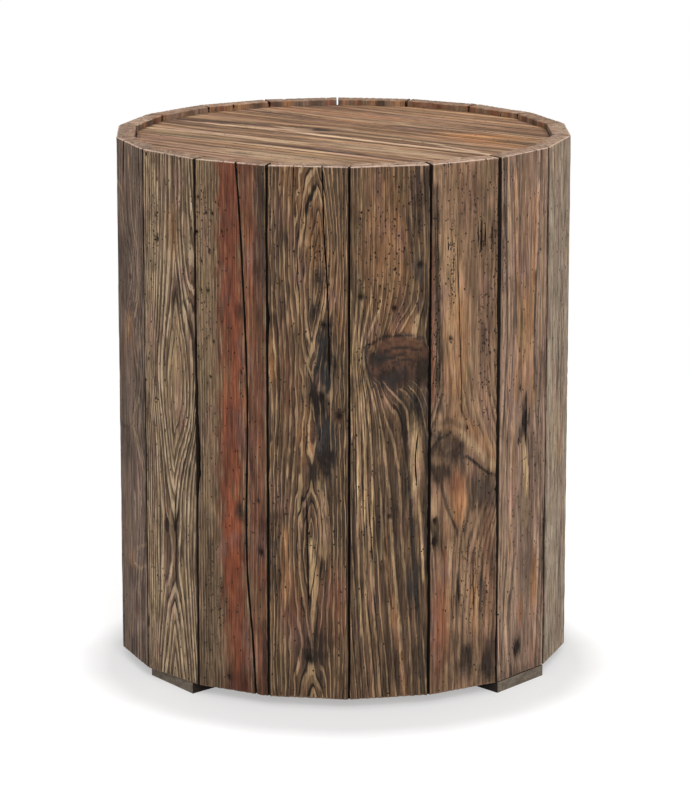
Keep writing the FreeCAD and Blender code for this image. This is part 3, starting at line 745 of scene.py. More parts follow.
# Brushed wood: shader nodes that colour the rings, fibres and marks of a drawing
class Nodes:
    """Shader nodes of one material, group or world, added one after the other."""

    def __init__(self, tree):
        self.tree = tree
        tree.nodes.clear()

    def feed(self, socket, value):
        """Set a socket, or link another one to it."""
        if isinstance(value, bpy.types.NodeSocket):
            self.tree.links.new(value, socket)
        else:
            socket.default_value = value

    def add(self, kind, feeds=None, **options):
        """Add a node, set its options, and feed its sockets."""
        node = self.tree.nodes.new(f"ShaderNode{kind}")
        for option, value in options.items():
            setattr(node, option, value)
        for socket, value in (feeds or {}).items():
            self.feed(node.inputs[socket], value)
        return node

    def reckon(self, operation, *values):
        return self.add("Math", dict(enumerate(values)), operation=operation).outputs[0]

    def chain(self, operation, first, *others):
        """Work several values into one, from left to right."""
        for other in others:
            first = self.reckon(operation, first, other)
        return first

    def times(self, *values):
        return self.chain("MULTIPLY", *values)

    def plus(self, *values):
        return self.chain("ADD", *values)

    def minus(self, *values):
        return self.chain("SUBTRACT", *values)

    def most(self, *values):
        return self.chain("MAXIMUM", *values)

    def vector(self, operation, *values):
        return self.add("VectorMath", dict(enumerate(values)), operation=operation).outputs

    def scaled(self, place, scales):
        return self.vector("MULTIPLY", place, scales)[0]

    def channels(self, colour):
        return self.add("SeparateColor", {0: colour}).outputs

    def attribute(self, label):
        return self.add("Attribute", attribute_name=label).outputs

    def group(self, tree, feeds):
        return self.add("Group", feeds, node_tree=tree).outputs

    def ramp(self, value, low, high, start=0.0, end=1.0):
        """Ease a value from start to end while it goes from low to high."""
        feeds = {"Value": value, "From Min": low, "From Max": high, "To Min": start, "To Max": end}
        return self.add("MapRange", feeds, interpolation_type="SMOOTHSTEP").outputs[0]

    def blend(self, factor, first, second, mode="MIX"):
        """Blend two colours."""
        return self.add("Mix", {0: factor, 6: first, 7: second}, data_type="RGBA", blend_type=mode).outputs[2]

    def noise(self, place, scales, detail):
        """Noise drawn out along the board; the three scales are swells per millimetre."""
        feeds = {"Vector": self.scaled(place, scales), "Scale": 1.0, "Detail": detail, "Roughness": 0.6}
        return self.add("TexNoise", feeds).outputs["Fac"]

    def bump(self, height, strength):
        return self.add("Bump", {"Height": height, "Strength": strength, "Distance": MM}).outputs[0]

    def finish(self, feeds):
        """Coat the material with one plain shader."""
        shader = self.add("BsdfPrincipled", feeds)
        self.add("OutputMaterial", {"Surface": shader.outputs[0]})


def new_material(name):
    """Material without nodes, and the means to add them."""
    material = bpy.data.materials.new(name)
    material.use_nodes = True
    return material, Nodes(material.node_tree)


def new_group(name, inputs, outputs):
    """Shader node group with named sockets: its nodes, what it is given and what it gives."""
    tree = bpy.data.node_groups.new(name, "ShaderNodeTree")
    for label, kind in inputs.items():
        tree.interface.new_socket(label, in_out="INPUT", socket_type=f"NodeSocket{kind}")
    for label in outputs:
        tree.interface.new_socket(label, in_out="OUTPUT", socket_type="NodeSocketFloat")
    nodes = Nodes(tree)
    return nodes, tree.nodes.new("NodeGroupInput").outputs, tree.nodes.new("NodeGroupOutput").inputs


def ring_group():
    """Brushed growth rings: a pale ridge, partly rubbed wear and partly painted sheen, the dark furrow behind
    it, partly stain in the groove and partly the ridge's painted shadow, and a tone for each ring.
    """
    sockets = {"Rings": "Float", "Ridge Share": "Float", "Place": "Vector"}
    nodes, given, out = new_group("brushed_rings", sockets, ["Ridge", "Furrow", "Body"])
    part = nodes.reckon("FRACT", given["Rings"])
    number = nodes.reckon("FLOOR", given["Rings"])
    luck = nodes.add("TexWhiteNoise", {"W": number}, noise_dimensions="1D").outputs["Color"]
    width_luck, shine_luck, soak_luck = nodes.channels(luck)
    half = nodes.times(given["Ridge Share"], nodes.ramp(width_luck, 0.0, 1.0, 0.6, 1.15), 0.5)
    off_middle = nodes.reckon("ABSOLUTE", nodes.minus(part, 0.5))
    ridge = nodes.ramp(off_middle, nodes.times(half, 0.55), half, 1.0, 0.0)
    across, _, down = nodes.add("SeparateXYZ", {0: given["Place"]}).outputs
    stretch = {0: nodes.times(number, 5.7), 1: nodes.times(across, 0.06), 2: nodes.times(down, 0.035)}
    line_place = nodes.add("CombineXYZ", stretch).outputs[0]
    luster = nodes.add("TexNoise", {"Vector": line_place, "Scale": 1.0, "Detail": 3.0}).outputs["Fac"]
    shine = nodes.ramp(shine_luck, 0.0, 0.7, 0.5, 1.0)
    shine = nodes.times(shine, nodes.ramp(luster, 0.36, 0.56, 0.42, 1.15))
    nodes.feed(out["Ridge"], nodes.times(ridge, shine))
    past = nodes.minus(part, nodes.plus(half, 0.58))
    furrow = nodes.ramp(nodes.reckon("ABSOLUTE", past), 0.04, 0.2, 1.0, 0.0)
    furrow_amount = nodes.ramp(soak_luck, 0.0, 1.0, 0.35, 1.0)
    furrow_amount = nodes.times(furrow_amount, nodes.ramp(luster, 0.62, 0.42, 0.4, 1.1))
    nodes.feed(out["Furrow"], nodes.times(furrow, furrow_amount))
    nodes.feed(out["Body"], soak_luck)
    return nodes.tree


FIBRE_KINDS = ("Fibre", "Streak", "Cloud", "Wear", "Fleck", "Burl")


def fibre_group():
    """Fibres: hair-fine lines, broad streaks, wear and cloudy patches along the grain."""
    nodes, given, out = new_group("wood_fibres", {"Place": "Vector"}, FIBRE_KINDS)
    place = given["Place"]
    aside = nodes.vector("ADD", place, (57.0, 31.0, 211.0))[0]
    nodes.feed(out["Fibre"], nodes.noise(place, (0.75, 0.5, 0.028), 5.0))
    nodes.feed(out["Streak"], nodes.noise(place, (0.16, 0.12, 0.007), 3.0))
    nodes.feed(out["Cloud"], nodes.noise(place, (0.045, 0.04, 0.016), 4.0))
    nodes.feed(out["Wear"], nodes.noise(aside, (0.09, 0.08, 0.03), 5.0))
    nodes.feed(out["Fleck"], nodes.ramp(nodes.noise(aside, (0.7, 0.5, 0.07), 3.0), 0.57, 0.66))
    nodes.feed(out["Burl"], nodes.noise(aside, (0.16, 0.16, 0.2), 5.0))
    return nodes.tree


def blemish_group():
    """Worm holes and short open checks, as many as the amount allows; the material paints them dark as shade.
    """
    nodes, given, out = new_group("worm_and_check", {"Place": "Vector", "Amount": "Float"}, ["Pit"])
    place = given["Place"]
    ragged = nodes.add("TexNoise", {"Vector": place, "Scale": 0.5, "Detail": 2.0}).outputs["Color"]
    shifted = nodes.vector("MULTIPLY_ADD", ragged, (3.0, 3.0, 5.0), place)[0]
    pits = []
    for scales, least, most in (((0.19, 0.19, 0.12), 0.1, 0.42), ((0.4, 0.4, 0.26), 0.12, 0.42)):
        cells = nodes.add("TexVoronoi", {"Vector": nodes.scaled(shifted, scales), "Scale": 1.0}).outputs
        pick_luck, size_luck, _ = nodes.channels(cells["Color"])
        size = nodes.ramp(size_luck, 0.0, 1.0, least, most)
        inside = nodes.ramp(cells["Distance"], nodes.times(size, 0.7), size, 1.0, 0.0)
        pits.append(nodes.times(inside, nodes.reckon("LESS_THAN", pick_luck, given["Amount"])))
    lines = nodes.noise(place, (0.75, 0.5, 0.03), 2.0)
    limit = nodes.minus(0.76, nodes.times(given["Amount"], 0.22))
    pits.append(nodes.ramp(lines, limit, nodes.plus(limit, 0.05)))
    nodes.feed(out["Pit"], nodes.most(*pits))
    return nodes.tree


RINGS = ring_group()
FIBRES = fibre_group()
BLEMISHES = blemish_group()
# Near black: painted shade inside cracks, holes, worm pits and stave joints; the plywood's border takes it
# too
DARK = tint(26, 20, 16)
OLIVE = tint(130, 112, 80)
ROSE = tint(140, 104, 94)
SLATE = tint(45, 42, 41)
HIDES_RINGS = {"paint": 0.75, "knot": 0.85, "plain": 0.9, "edge": 0.75}
HIDES_FIBRES = {"edge": 0.7, "knot": 0.8}


def read_drawing(nodes):
    """What is drawn on a board, and where on the board a point lies."""
    drawn = SimpleNamespace()
    drawn.place = nodes.attribute("grain_place")["Vector"]
    drawn.rings = nodes.attribute("rings")["Fac"]
    tones = nodes.attribute("tones")
    marks = nodes.attribute("marks")
    extras = nodes.attribute("extras")
    drawn.warm, drawn.paint, drawn.stain = nodes.channels(tones["Color"])
    drawn.pale = tones["Alpha"]
    # Hollow marks cracks, holes and joint sides for painted shade
    drawn.hollow, drawn.edge, drawn.worm = nodes.channels(marks["Color"])
    drawn.knot = marks["Alpha"]
    drawn.bright, drawn.plain, drawn.arris = nodes.add("SeparateXYZ", {0: extras["Vector"]}).outputs
    return drawn


def hidden_by(nodes, drawn, shares):
    """How much of the grain is hidden by what lies over it."""
    return nodes.most(*[nodes.times(getattr(drawn, mark), share) for mark, share in shares.items()])


def brushed_grain(nodes, drawn, ridge_share, figure):
    """Ridges, furrows, fibres and pits of a board, left out where paint, knots or wear hide them."""
    figured = nodes.scaled(drawn.place, figure)
    rings = nodes.group(RINGS, {"Rings": drawn.rings, "Place": figured, "Ridge Share": ridge_share})
    broad = nodes.group(FIBRES, {"Place": figured})
    grain = SimpleNamespace(**{label.lower(): broad[label] for label in FIBRE_KINDS})
    grain.fibre = nodes.group(FIBRES, {"Place": drawn.place})["Fibre"]
    pits = nodes.group(BLEMISHES, {"Place": drawn.place, "Amount": drawn.worm})
    # Pits, crack beds, holes and joint sides, all painted near black as shade
    grain.pit = nodes.most(pits["Pit"], drawn.hollow)
    grain.bare = nodes.minus(1.0, hidden_by(nodes, drawn, HIDES_RINGS))
    worn = nodes.times(grain.bare, nodes.ramp(grain.wear, 0.3, 0.58, 0.42, 1.0))
    grain.ridge = nodes.times(rings["Ridge"], worn)
    grain.cut_furrow = rings["Furrow"]
    grain.furrow = nodes.times(rings["Furrow"], grain.bare)
    grain.body = nodes.times(rings["Body"], 0.55, grain.bare)
    return grain


def brushed_colour(nodes, drawn, grain, colours):
    """Colour of the brushed wood with its tones, paint, ridges and knots."""
    streaks = nodes.ramp(grain.streak, 0.35, 0.65, -0.1, 0.6)
    body = nodes.plus(grain.body, streaks, nodes.times(drawn.plain, 0.3))
    ground = nodes.blend(body, colours["groove"], colours["second"])
    ground = nodes.blend(drawn.warm, ground, colours["warm"])
    ground = nodes.blend(drawn.pale, ground, colours["pale"])
    fresh = nodes.most(drawn.bright, nodes.ramp(grain.streak, 0.4, 0.75, 0.0, 0.7))
    painted = nodes.blend(fresh, colours["paint"], colours["bright_paint"])
    ground = nodes.blend(drawn.paint, ground, painted)
    # Ridge colour: partly rubbed wear, partly painted sheen
    ridge_wear_and_sheen = nodes.blend(nodes.times(drawn.warm, 0.6), colours["ridge"], colours["pale"])
    # Dark furrow behind each ridge: partly stain held in the groove, partly the ridge's painted shadow
    wood = nodes.blend(nodes.times(grain.furrow, 0.95), ground, colours["furrow"])
    wood = nodes.blend(grain.ridge, wood, ridge_wear_and_sheen)
    wood = nodes.blend(nodes.times(grain.fleck, grain.bare, 0.65), wood, colours["furrow"])
    heart = nodes.blend(nodes.ramp(grain.burl, 0.3, 0.64, 0.3, 1.0), colours["furrow"], colours["knot"])
    return nodes.blend(nodes.times(drawn.knot, 0.9), wood, heart)


def aged_colour(nodes, drawn, grain, colours, wood, fibre_depth, streak_depth):
    """The same wood with soot, old dye, shaded fibres and rubbed edges, a painted highlight on the rim's
    arris, and painted shade that turns pits, cracks, holes and joint sides near black.
    """
    soaked = nodes.times(drawn.stain, nodes.ramp(grain.ridge, 0.0, 1.0, 1.0, 0.6))
    soot = nodes.blend(nodes.ramp(grain.wear, 0.44, 0.6), colours["stain"], SLATE)
    wood = nodes.blend(soaked, wood, soot)
    wood = nodes.blend(nodes.ramp(grain.cloud, 0.52, 0.66, 0.0, 0.45), wood, ROSE, "COLOR")
    wood = nodes.blend(nodes.ramp(grain.cloud, 0.46, 0.32, 0.0, 0.32), wood, OLIVE, "COLOR")
    shade = nodes.times(
        nodes.ramp(grain.fibre, 0.34, 0.66, 1 - 0.46 * fibre_depth, 1 + 0.42 * fibre_depth),
        nodes.ramp(grain.wear, 0.28, 0.72, 0.76, 1.2),
        nodes.ramp(grain.streak, 0.32, 0.68, 1 - streak_depth, 1 + streak_depth),
    )
    grey = nodes.add("CombineColor", {0: shade, 1: shade, 2: shade}).outputs[0]
    smooth = nodes.most(hidden_by(nodes, drawn, HIDES_FIBRES), nodes.times(grain.ridge, 0.55))
    wood = nodes.blend(nodes.minus(1.0, smooth), wood, grey, "MULTIPLY")
    rubbed = nodes.times(drawn.edge, nodes.ramp(grain.cloud, 0.4, 0.6, 0.35, 0.85))
    mottle = nodes.blend(nodes.ramp(grain.burl, 0.4, 0.6), colours["edge_dark"], colours["edge"])
    mottle = nodes.blend(nodes.times(grain.cut_furrow, 0.4), mottle, colours["groove"])
    wood = nodes.blend(rubbed, wood, mottle)
    # Painted highlight along the rim's outer arris, broken up by the wear noise
    rim_highlight = nodes.times(drawn.arris, nodes.ramp(grain.wear, 0.35, 0.5, 0.25, 0.95))
    wood = nodes.blend(rim_highlight, wood, colours["lip"])
    # Painted shade: pits, cracks, holes and joint sides go near black
    return nodes.blend(grain.pit, wood, DARK)


def brushed_wood(name, colours, ridge_share, roughness, fibre_depth, streak_depth, figure):
    """Wood whose rings, patches and marks come from what is drawn on the board."""
    material, nodes = new_material(name)
    drawn = read_drawing(nodes)
    grain = brushed_grain(nodes, drawn, ridge_share, figure)
    wood = brushed_colour(nodes, drawn, grain, colours)
    height = nodes.plus(nodes.times(grain.ridge, 0.25), nodes.times(grain.fibre, 0.3))
    height = nodes.minus(height, nodes.times(grain.furrow, 0.25), grain.pit)
    nodes.finish({
        "Base Color": aged_colour(nodes, drawn, grain, colours, wood, fibre_depth, streak_depth),
        "Roughness": nodes.ramp(grain.ridge, 0.0, 1.0, roughness + 0.12, roughness - 0.05),
        "Normal": nodes.bump(height, 0.8),
        "Specular IOR Level": 0.18,
    })
    return material


# Relief, wear and dirt of a stave in millimetres, with its painted joint shade and painted rim highlight, the
# share of its rings that is lost towards the inside, and what a board has where its drawing says nothing
RING_RELIEF = 0.4
FIBRE_RELIEF = 0.12
STAIN_DECAY = 0.6
HOLE_DEPTH = 2.5
RELIEF_FADE = 5
INSIDE_FROM = 10
INSIDE_OVER = 6
ARRIS_RADIUS = 1.0
ARRIS_LIMITS = (0.6, 2.2)
GRIME_REACH = 0.8
RIM_HIGHLIGHT_REACH = 1.3
JOINT_SHADE_BELOW_RIM = 1.5
JOINT_SHADE = 1.2
RINGS_LOST = 0.7
PLAIN_STAVE = {"fold": None, "knots": [], "holes": [], "edges": {}, "fray": (3, 9, 8)}
STAVE_FINISH = {"roughness": 0.62, "fibre_depth": 1.0, "streak_depth": 0.12, "figure": (1.0, 1.0, 1.0)}

# Shifts that give each board its own stretch of the pattern, and each of its random draws its own seed
SHIFT_ACROSS = 137
SHIFT_DOWN = 911
SEEDS = SimpleNamespace(fibres=50, decay=60, holes=65, wear=70, scuffs=71, grime=75, left=80, right=90)


def close_to(distance, reach):
    """Full at an edge, and gone a little more than the reach away from it."""
    return np.clip(1.2 - distance / reach, 0, 1)


def stave_relief(board, number, columns, down, turned, rings, tones):
    """How deep each point of a stave's face lies, and how far it is inside a hole, which the material paints
    dark as shade.
    """
    sink = RING_RELIEF * (1 - ridge_height(rings)) * (1 - 0.75 * tones[..., PLAIN])
    sink = sink + FIBRE_RELIEF * (1 + wander(number + SEEDS.fibres, columns, down, 4, 60))
    sink = sink * (1 - 0.45 * tones[..., PAINT])
    sink = sink + STAIN_DECAY * tones[..., STAIN] * (1 + wander(number + SEEDS.decay, columns, down, 5, 16))
    sink = np.maximum(sink, 0)
    hollow = np.zeros_like(columns)
    for at_down, at_across, hole_radius in board["holes"]:
        reach = np.hypot(columns * turned - at_across, (down - at_down) * 0.8) / hole_radius
        reach = reach * (1 + 0.2 * wander(number + SEEDS.holes, columns, down, 4, 5))
        pit = np.exp(-reach ** 4)
        sink = sink + HOLE_DEPTH * pit
        hollow = np.maximum(hollow, pit)
    return sink, hollow


def stave_face(board, number, drawn_rows, turned):
    """Outline, grain, marks and relief of a stave's outer face."""
    sides = ("left", "right") if turned > 0 else ("right", "left")
    left = -HALF_WIDTH + worn_edge(board, sides[0], drawn_rows, number + SEEDS.left)
    right = HALF_WIDTH - worn_edge(board, sides[1], drawn_rows, number + SEEDS.right)
    columns, beds = stave_columns(board, drawn_rows, left, right, turned)
    down = np.repeat(drawn_rows[:, None], columns.shape[1], 1)
    rings, tones, worm, knot = draw_grain(board, columns * turned, down, number)
    sink, hollow = stave_relief(board, number, columns, down, turned, rings, tones)
    # Crack beds sink, and are marked for painted shade
    for bed, depth in beds:
        sink[:, bed] += depth
        hollow[:, bed] = np.maximum(hollow[:, bed], np.clip(20 * depth, 0, 1))
    wear = wander(number + SEEDS.wear, columns * 0.3, down, 30, 60)
    wear = wear + 0.6 * wander(number + SEEDS.scuffs, columns, down, 12, 14)
    radius = np.clip(ARRIS_RADIUS + 0.5 * wear, *ARRIS_LIMITS)
    from_side = np.minimum(columns - left[:, None], right[:, None] - columns)
    grime_reach = GRIME_REACH + 0.3 * wander(number + SEEDS.grime, columns, down, 20, 40)
    tones[..., STAIN] = np.maximum(tones[..., STAIN], 0.6 * close_to(from_side, grime_reach))
    return SimpleNamespace(
        left=left, right=right, columns=columns, down=down, from_side=from_side, rings=rings, tones=tones,
        worm=worm, knot=knot, sink=sink, hollow=hollow, radius=radius,
    )


def stave_block(face, number, rows, open_rows):
    """Points of a stave, with its seats cut, its arrises rounded and its joints closed below the rim."""
    layers = np.array(LAYER_SHARES) * THICKNESS
    seat = np.zeros(len(rows))
    for start, end, depth in (GROOVE, REBATE):
        seat = np.where((rows > start) & (rows < end + SEAT_CUT / 2), depth, seat)
    behind = np.maximum(layers - layers[FINE_LAYERS], 0)
    cut = seat / (THICKNESS - layers[FINE_LAYERS])
    depth = (layers - behind * cut[:, None])[:, :, None]
    narrowing = 1 - depth * MITRE / HALF_WIDTH
    fade = np.exp(-depth / RELIEF_FADE)
    left = face.left[:, None, None] * narrowing
    places = [(face.columns - face.left[:, None])[:, None] * narrowing, depth, rows[:, None, None]]
    sizes = [(face.right - face.left)[:, None, None] * narrowing, (THICKNESS - seat)[:, None, None], LENGTH]
    x, y, z = round_arrises(places, sizes, face.radius[:, None], face.sink[:, None] * fade)
    x = x + left
    y = y - OUTER_FACE
    glued = -y[open_rows + 1 :, FINE_LAYERS:] * MITRE - GLUE_LINE
    x[open_rows + 1 :, FINE_LAYERS:, 0] = -glued[..., 0]
    x[open_rows + 1 :, FINE_LAYERS:, -1] = glued[..., -1]
    angle = (2 * number - 1) * HALF_ANGLE
    turned_x = x * math.cos(angle) - y * math.sin(angle)
    turned_y = x * math.sin(angle) + y * math.cos(angle)
    points = together(turned_x, turned_y, STAVE_TOP - z)
    points = np.clip(points, np.array(cad_box[0]) / MM, np.array(cad_box[1]) / MM)
    return SimpleNamespace(points=points, depth=depth, narrowing=narrowing, fade=fade)


def stave_drawing(face, block, number, rows):
    """What the material reads at each point of a stave; the inside has soft spots and no marks, the joint
    sides are marked for painted shade and the rim's outer arris for a painted highlight.
    """
    rows = rows[:, None, None]
    tones = face.tones[:, None]
    edge = close_to(np.minimum(rows, LENGTH - rows), 1.4 * face.radius[:, None])
    inner = np.clip((block.depth - INSIDE_FROM) / INSIDE_OVER, 0, 1)
    # Painted shade in the joints: the stave sides go near black deeper than about a millimetre behind the
    # face, from just below the rim down.
    on_side = (face.from_side < 0.01)[:, None] * (rows > JOINT_SHADE_BELOW_RIM)
    painted_joint_shade = on_side * np.clip(block.depth / JOINT_SHADE - 0.5, 0, 1)
    hollow = np.maximum(face.hollow[:, None] * block.fade, painted_joint_shade)
    # The rim's outer arris, marked for a painted highlight
    arris = np.clip(1.25 - np.hypot(rows, block.depth) / RIM_HIGHLIGHT_REACH, 0, 1)
    bright = np.maximum(tones[..., BRIGHT], 0.6 * inner)
    plain = np.maximum(tones[..., PLAIN], 0.9 * inner)
    outer_tones = tones[..., :BRIGHT] * (1 - inner)[..., None]
    for tone, strength in ((WARM, 1.0), (PAINT, 1.1), (STAIN, 0.6)):
        spots = np.clip(1.3 * wander(number * 3 + tone, face.columns, 0 * face.down, 34, 1), 0, 1)
        outer_tones[..., tone] += strength * inner * spots[:, None]
    across = face.columns[:, None] * block.narrowing + SHIFT_ACROSS * number
    return {
        "rings": face.rings[:, None] * (1 - RINGS_LOST * block.depth / THICKNESS),
        "extras": together(bright, plain, arris),
        "grain_place": together(across, block.depth, rows + SHIFT_DOWN * number),
        "tones": outer_tones,
        "marks": together(hollow, np.maximum(edge, 0.25 * inner), face.worm[:, None], face.knot[:, None]),
    }


def build_stave(number):
    """One stave, from the drawing of its board."""
    drawing, colours, turned, upside_down = STAVES[number]
    board = {**PLAIN_STAVE, **BOARDS[drawing]}
    rows, bands, rim_rows = stave_rows()
    open_depth = OPEN_JOINT if number in OPEN_STAVES else RIM_NOTCH
    open_rows = int(np.argmin(abs(rows - open_depth)))
    face = stave_face(board, number, LENGTH - rows if upside_down else rows, turned)
    block = stave_block(face, number, rows, open_rows)
    faces, hidden = board_faces(len(rows), face.columns.shape[1], bands, rim_rows, open_rows)
    attributes = stave_drawing(face, block, number, rows)
    stave = make_board(f"brushed_stave_{number:02d}", block.points, faces, hidden, attributes)
    pine = brushed_wood(f"brushed_pine_{number:02d}", PALETTES[colours], board["ridge_share"], **STAVE_FINISH)
    stave.data.materials.append(pine)
    return stave


def stands_for(piece, node):
    """Fix a piece to the body in the place of its CAD node."""
    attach(piece, "root")
    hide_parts(node)


for stave_number in STAVES:
    stands_for(build_stave(stave_number), f"stave_{stave_number:02d}")

# Top boards
# Six boards of the same brushed pine lie slanting across the drum, glued to the panel under them and
# cut to its eighteen sides a little below the rim. They are lighter than the staves, with a dark knot.
TOP_TURN = math.radians(142)
ALONG = (math.cos(TOP_TURN), math.sin(TOP_TURN))
ASIDE = (-math.sin(TOP_TURN), math.cos(TOP_TURN))
top_low, top_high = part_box("top_plank_3")
TOP_FACE = top_high.z / MM
TOP_THICKNESS = (top_high.z - top_low.z) / MM
TOP_APOTHEM = 229.34
REAR_BOARD = 70.0
FRONT_STRIP = 24.0
TOP_JOINT_COUNT = 5
TOP_JOINTS = np.linspace(-TOP_APOTHEM + REAR_BOARD, TOP_APOTHEM - FRONT_STRIP, TOP_JOINT_COUNT)
TOP_GAP = 0.8
TOP_PLAY = 0.3
TOP_REACH = 235.0
TOP_END = 2 * TOP_REACH
TOP_COLUMN_STEP = 1.2
TOP_FINE_COLUMNS = [0, 0.4]
TOP_FINE_ROWS = [0, 0.25, 0.6]
TOP_FIBRE_RELIEF = 0.15
TOP_STAIN_DECAY = 0.5
TOP_RELIEF_FADE = 3
TOP_RING_LEAN = 0.16
TOP_ARRIS_RADIUS = 0.8
TOP_ARRIS_LIMITS = (0.3, 1.6)
TOP_GRIME_REACH = 1.2
TOP_END_GRIME = 0.8
TOP_RIM_BAND = 6
TOP_SEED = 400
TOP_SEED_STEP = 17
TOP_SEEDS = SimpleNamespace(fibres=3, decay=4, wear=5, grime=6)
TOP_SHIFT = 30
TOP_RIDGE_SHARE = 0.5
TOP_FINISH = {"roughness": 0.58, "fibre_depth": 0.4, "streak_depth": 0.26, "figure": (0.5, 1.0, 0.3)}
TOP_COLOURS = palette(
    (175, 144, 114), (151, 116, 85), (104, 71, 46), (78, 52, 33), warm=(180, 122, 72), stain=(66, 46, 33),
    pale=(204, 174, 142), paint=(132, 88, 64), bright_paint=(158, 92, 58),
)
PLAIN_TOP_BOARD = {"fold": None, "knots": [], "wobble": 0.25, "fray": (7, 60, 36)}
TOP_BOARDS = [
    {
        "guides": [
            straight(-46, 0, TOP_END), [(0, 0, 3), (200, 4, 3), (TOP_END, -4, 3.4)],
            straight(46, 6, TOP_END),
        ],
        "tones": [(PAINT, 260, 0, 140, 24, 0.5), (STAIN, [(100, 10), (350, 14)], 3, 0.5)],
        "worms": [(200, 10, 100, 20, 0.2)],
    },
    {
        "guides": [
            [(0, -46, 0), (TOP_END, -46, 0.6)],
            [(0, -14, 2), (180, -8, 2.4), (330, -16, 2), (TOP_END, -12, 2.4)],
            [(0, 18, 4.4), (110, 10, 4.4), (200, 20, 4), (TOP_END, 14, 4.4)], straight(46, 6.4, TOP_END),
        ],
        "tones": [
            (WARM, 112, 32, 46, 14, 1.0), (WARM, 86, 14, 40, 12, 0.6), (PAINT, 330, -8, 100, 18, 0.7),
            (STAIN, [(170, 0), (260, -8), (360, -6)], 4, 0.45), (STAIN, [(60, -20), (180, -24)], 4, 0.4),
            (STAIN, [(200, 24), (300, 30), (400, 26)], 6, 0.5),
            (PALE, [(240, 8), (320, 12), (390, 8)], 4, 0.5), (STAIN, 60, 30, 30, 10, 0.4),
            (WARM, 300, 26, 60, 8, 0.5),
        ],
        "worms": [(150, 10, 120, 30, 0.25)],
    },
    {
        "guides": [
            straight(-46, 0, TOP_END),
            [(0, -16, 2), (220, -18, 2), (279, -26, 2), (340, -18, 2), (TOP_END, -14, 2)],
            [(0, 2, 3), (230, 0, 3), (279, 2, 3.2), (330, 2, 3), (TOP_END, 4, 3)],
            [(0, 18, 4), (220, 20, 4), (279, 28, 4), (340, 20, 4), (TOP_END, 22, 4)],
            straight(46, 6, TOP_END),
        ],
        "knots": [(279, 2, 8, 12)],
        "tones": [
            (STAIN, 279, 2, 20, 11, 1.0), (STAIN, [(330, 4), (380, 16), (450, 34)], 11, 0.75),
            (PALE, [(26, 38), (70, 24), (115, 11)], 3.4, 1.0),
            (PALE, [(40, 34), (150, 36), (260, 34)], 4, 0.9),
            (STAIN, [(40, 42), (150, 44), (280, 43)], 2.5, 0.6),
            (STAIN, [(120, 26), (200, 26), (260, 22)], 3, 0.45), (WARM, 105, -38, 50, 10, 0.9),
            (STAIN, [(230, -8), (300, -22), (360, -26)], 5, 0.45), (WARM, 60, -30, 40, 14, 0.4),
            (PALE, [(310, 26), (360, 36), (420, 42)], 5, 0.8), (STAIN, [(100, 0), (200, -6)], 4, 0.4),
            (PAINT, 340, -24, 70, 16, 0.6), (WARM, 330, 4, 20, 14, 0.8), (PALE, 318, 10, 12, 6, 0.6),
            (STAIN, [(40, 10), (120, 4)], 5, 0.4),
        ],
        "worms": [(170, 0, 80, 30, 0.2)],
    },
    {
        "guides": [
            straight(-46, 0, TOP_END), [(0, -10, 2), (150, -14, 2), (300, -6, 2), (TOP_END, -12, 2)],
            [(0, 24, 4.4), (200, 20, 4.4), (TOP_END, 26, 4.4)], straight(46, 6, TOP_END),
        ],
        "tones": [
            (STAIN, [(150, 25), (270, 30), (405, 37)], 5, 0.8), (PALE, 130, -14, 110, 14, 0.6),
            (STAIN, [(260, -24), (380, -10)], 4, 0.45), (PALE, [(270, 8), (340, 6), (420, 14)], 7, 0.7),
            (STAIN, [(30, 6), (140, 0)], 4, 0.35), (STAIN, [(300, -36), (440, -28)], 5, 0.6),
            (PALE, [(160, 40), (260, 42), (360, 43)], 3, 0.5),
            (STAIN, [(200, -4), (300, -10), (400, -4)], 3, 0.4),
        ],
        "worms": [(200, 0, 160, 30, 0.12)],
    },
    {
        "guides": [
            straight(-46, 0, TOP_END), [(0, 0, 3), (240, 4, 3), (TOP_END, -2, 3)], straight(46, 6, TOP_END),
        ],
        "tones": [
            (PALE, 215, 0, 90, 24, 0.5), (STAIN, [(120, -22), (300, -16)], 4, 0.45),
            (STAIN, [(200, 20), (340, 16)], 3, 0.4), (STAIN, 250, 6, 26, 10, 0.4),
        ],
        "worms": [(215, 0, 60, 24, 0.5)],
    },
    {
        "guides": [
            straight(-46, 0, TOP_END), straight(46, 6, TOP_END),
        ],
        "tones": [(PALE, 235, 10, 80, 12, 0.4)],
        "worms": [(235, 0, 60, 20, 0.3)],
    },
]


def top_ends(aside):
    """Where a line along the boards enters and leaves the eighteen-sided top."""
    ends = []
    for way in (-1, 1):
        reach = np.full_like(aside, TOP_END)
        for side_number in range(STAVE_COUNT):
            facing = (2 * side_number - 1) * HALF_ANGLE - math.pi / 2
            slope = way * (math.cos(facing) * ALONG[0] + math.sin(facing) * ALONG[1])
            lean = math.cos(facing) * ASIDE[0] + math.sin(facing) * ASIDE[1]
            if slope > 1e-6:
                reach = np.minimum(reach, (TOP_APOTHEM - aside * lean) / slope)
        ends.append(way * reach)
    return ends


def fine_ended(count, fine, inner):
    """Shares from 0 to 1 in even steps, with finer ones at both ends."""
    last = [count - step for step in fine[::-1]]
    return np.concatenate([fine, np.linspace(1, count - 1, inner), last]) / count


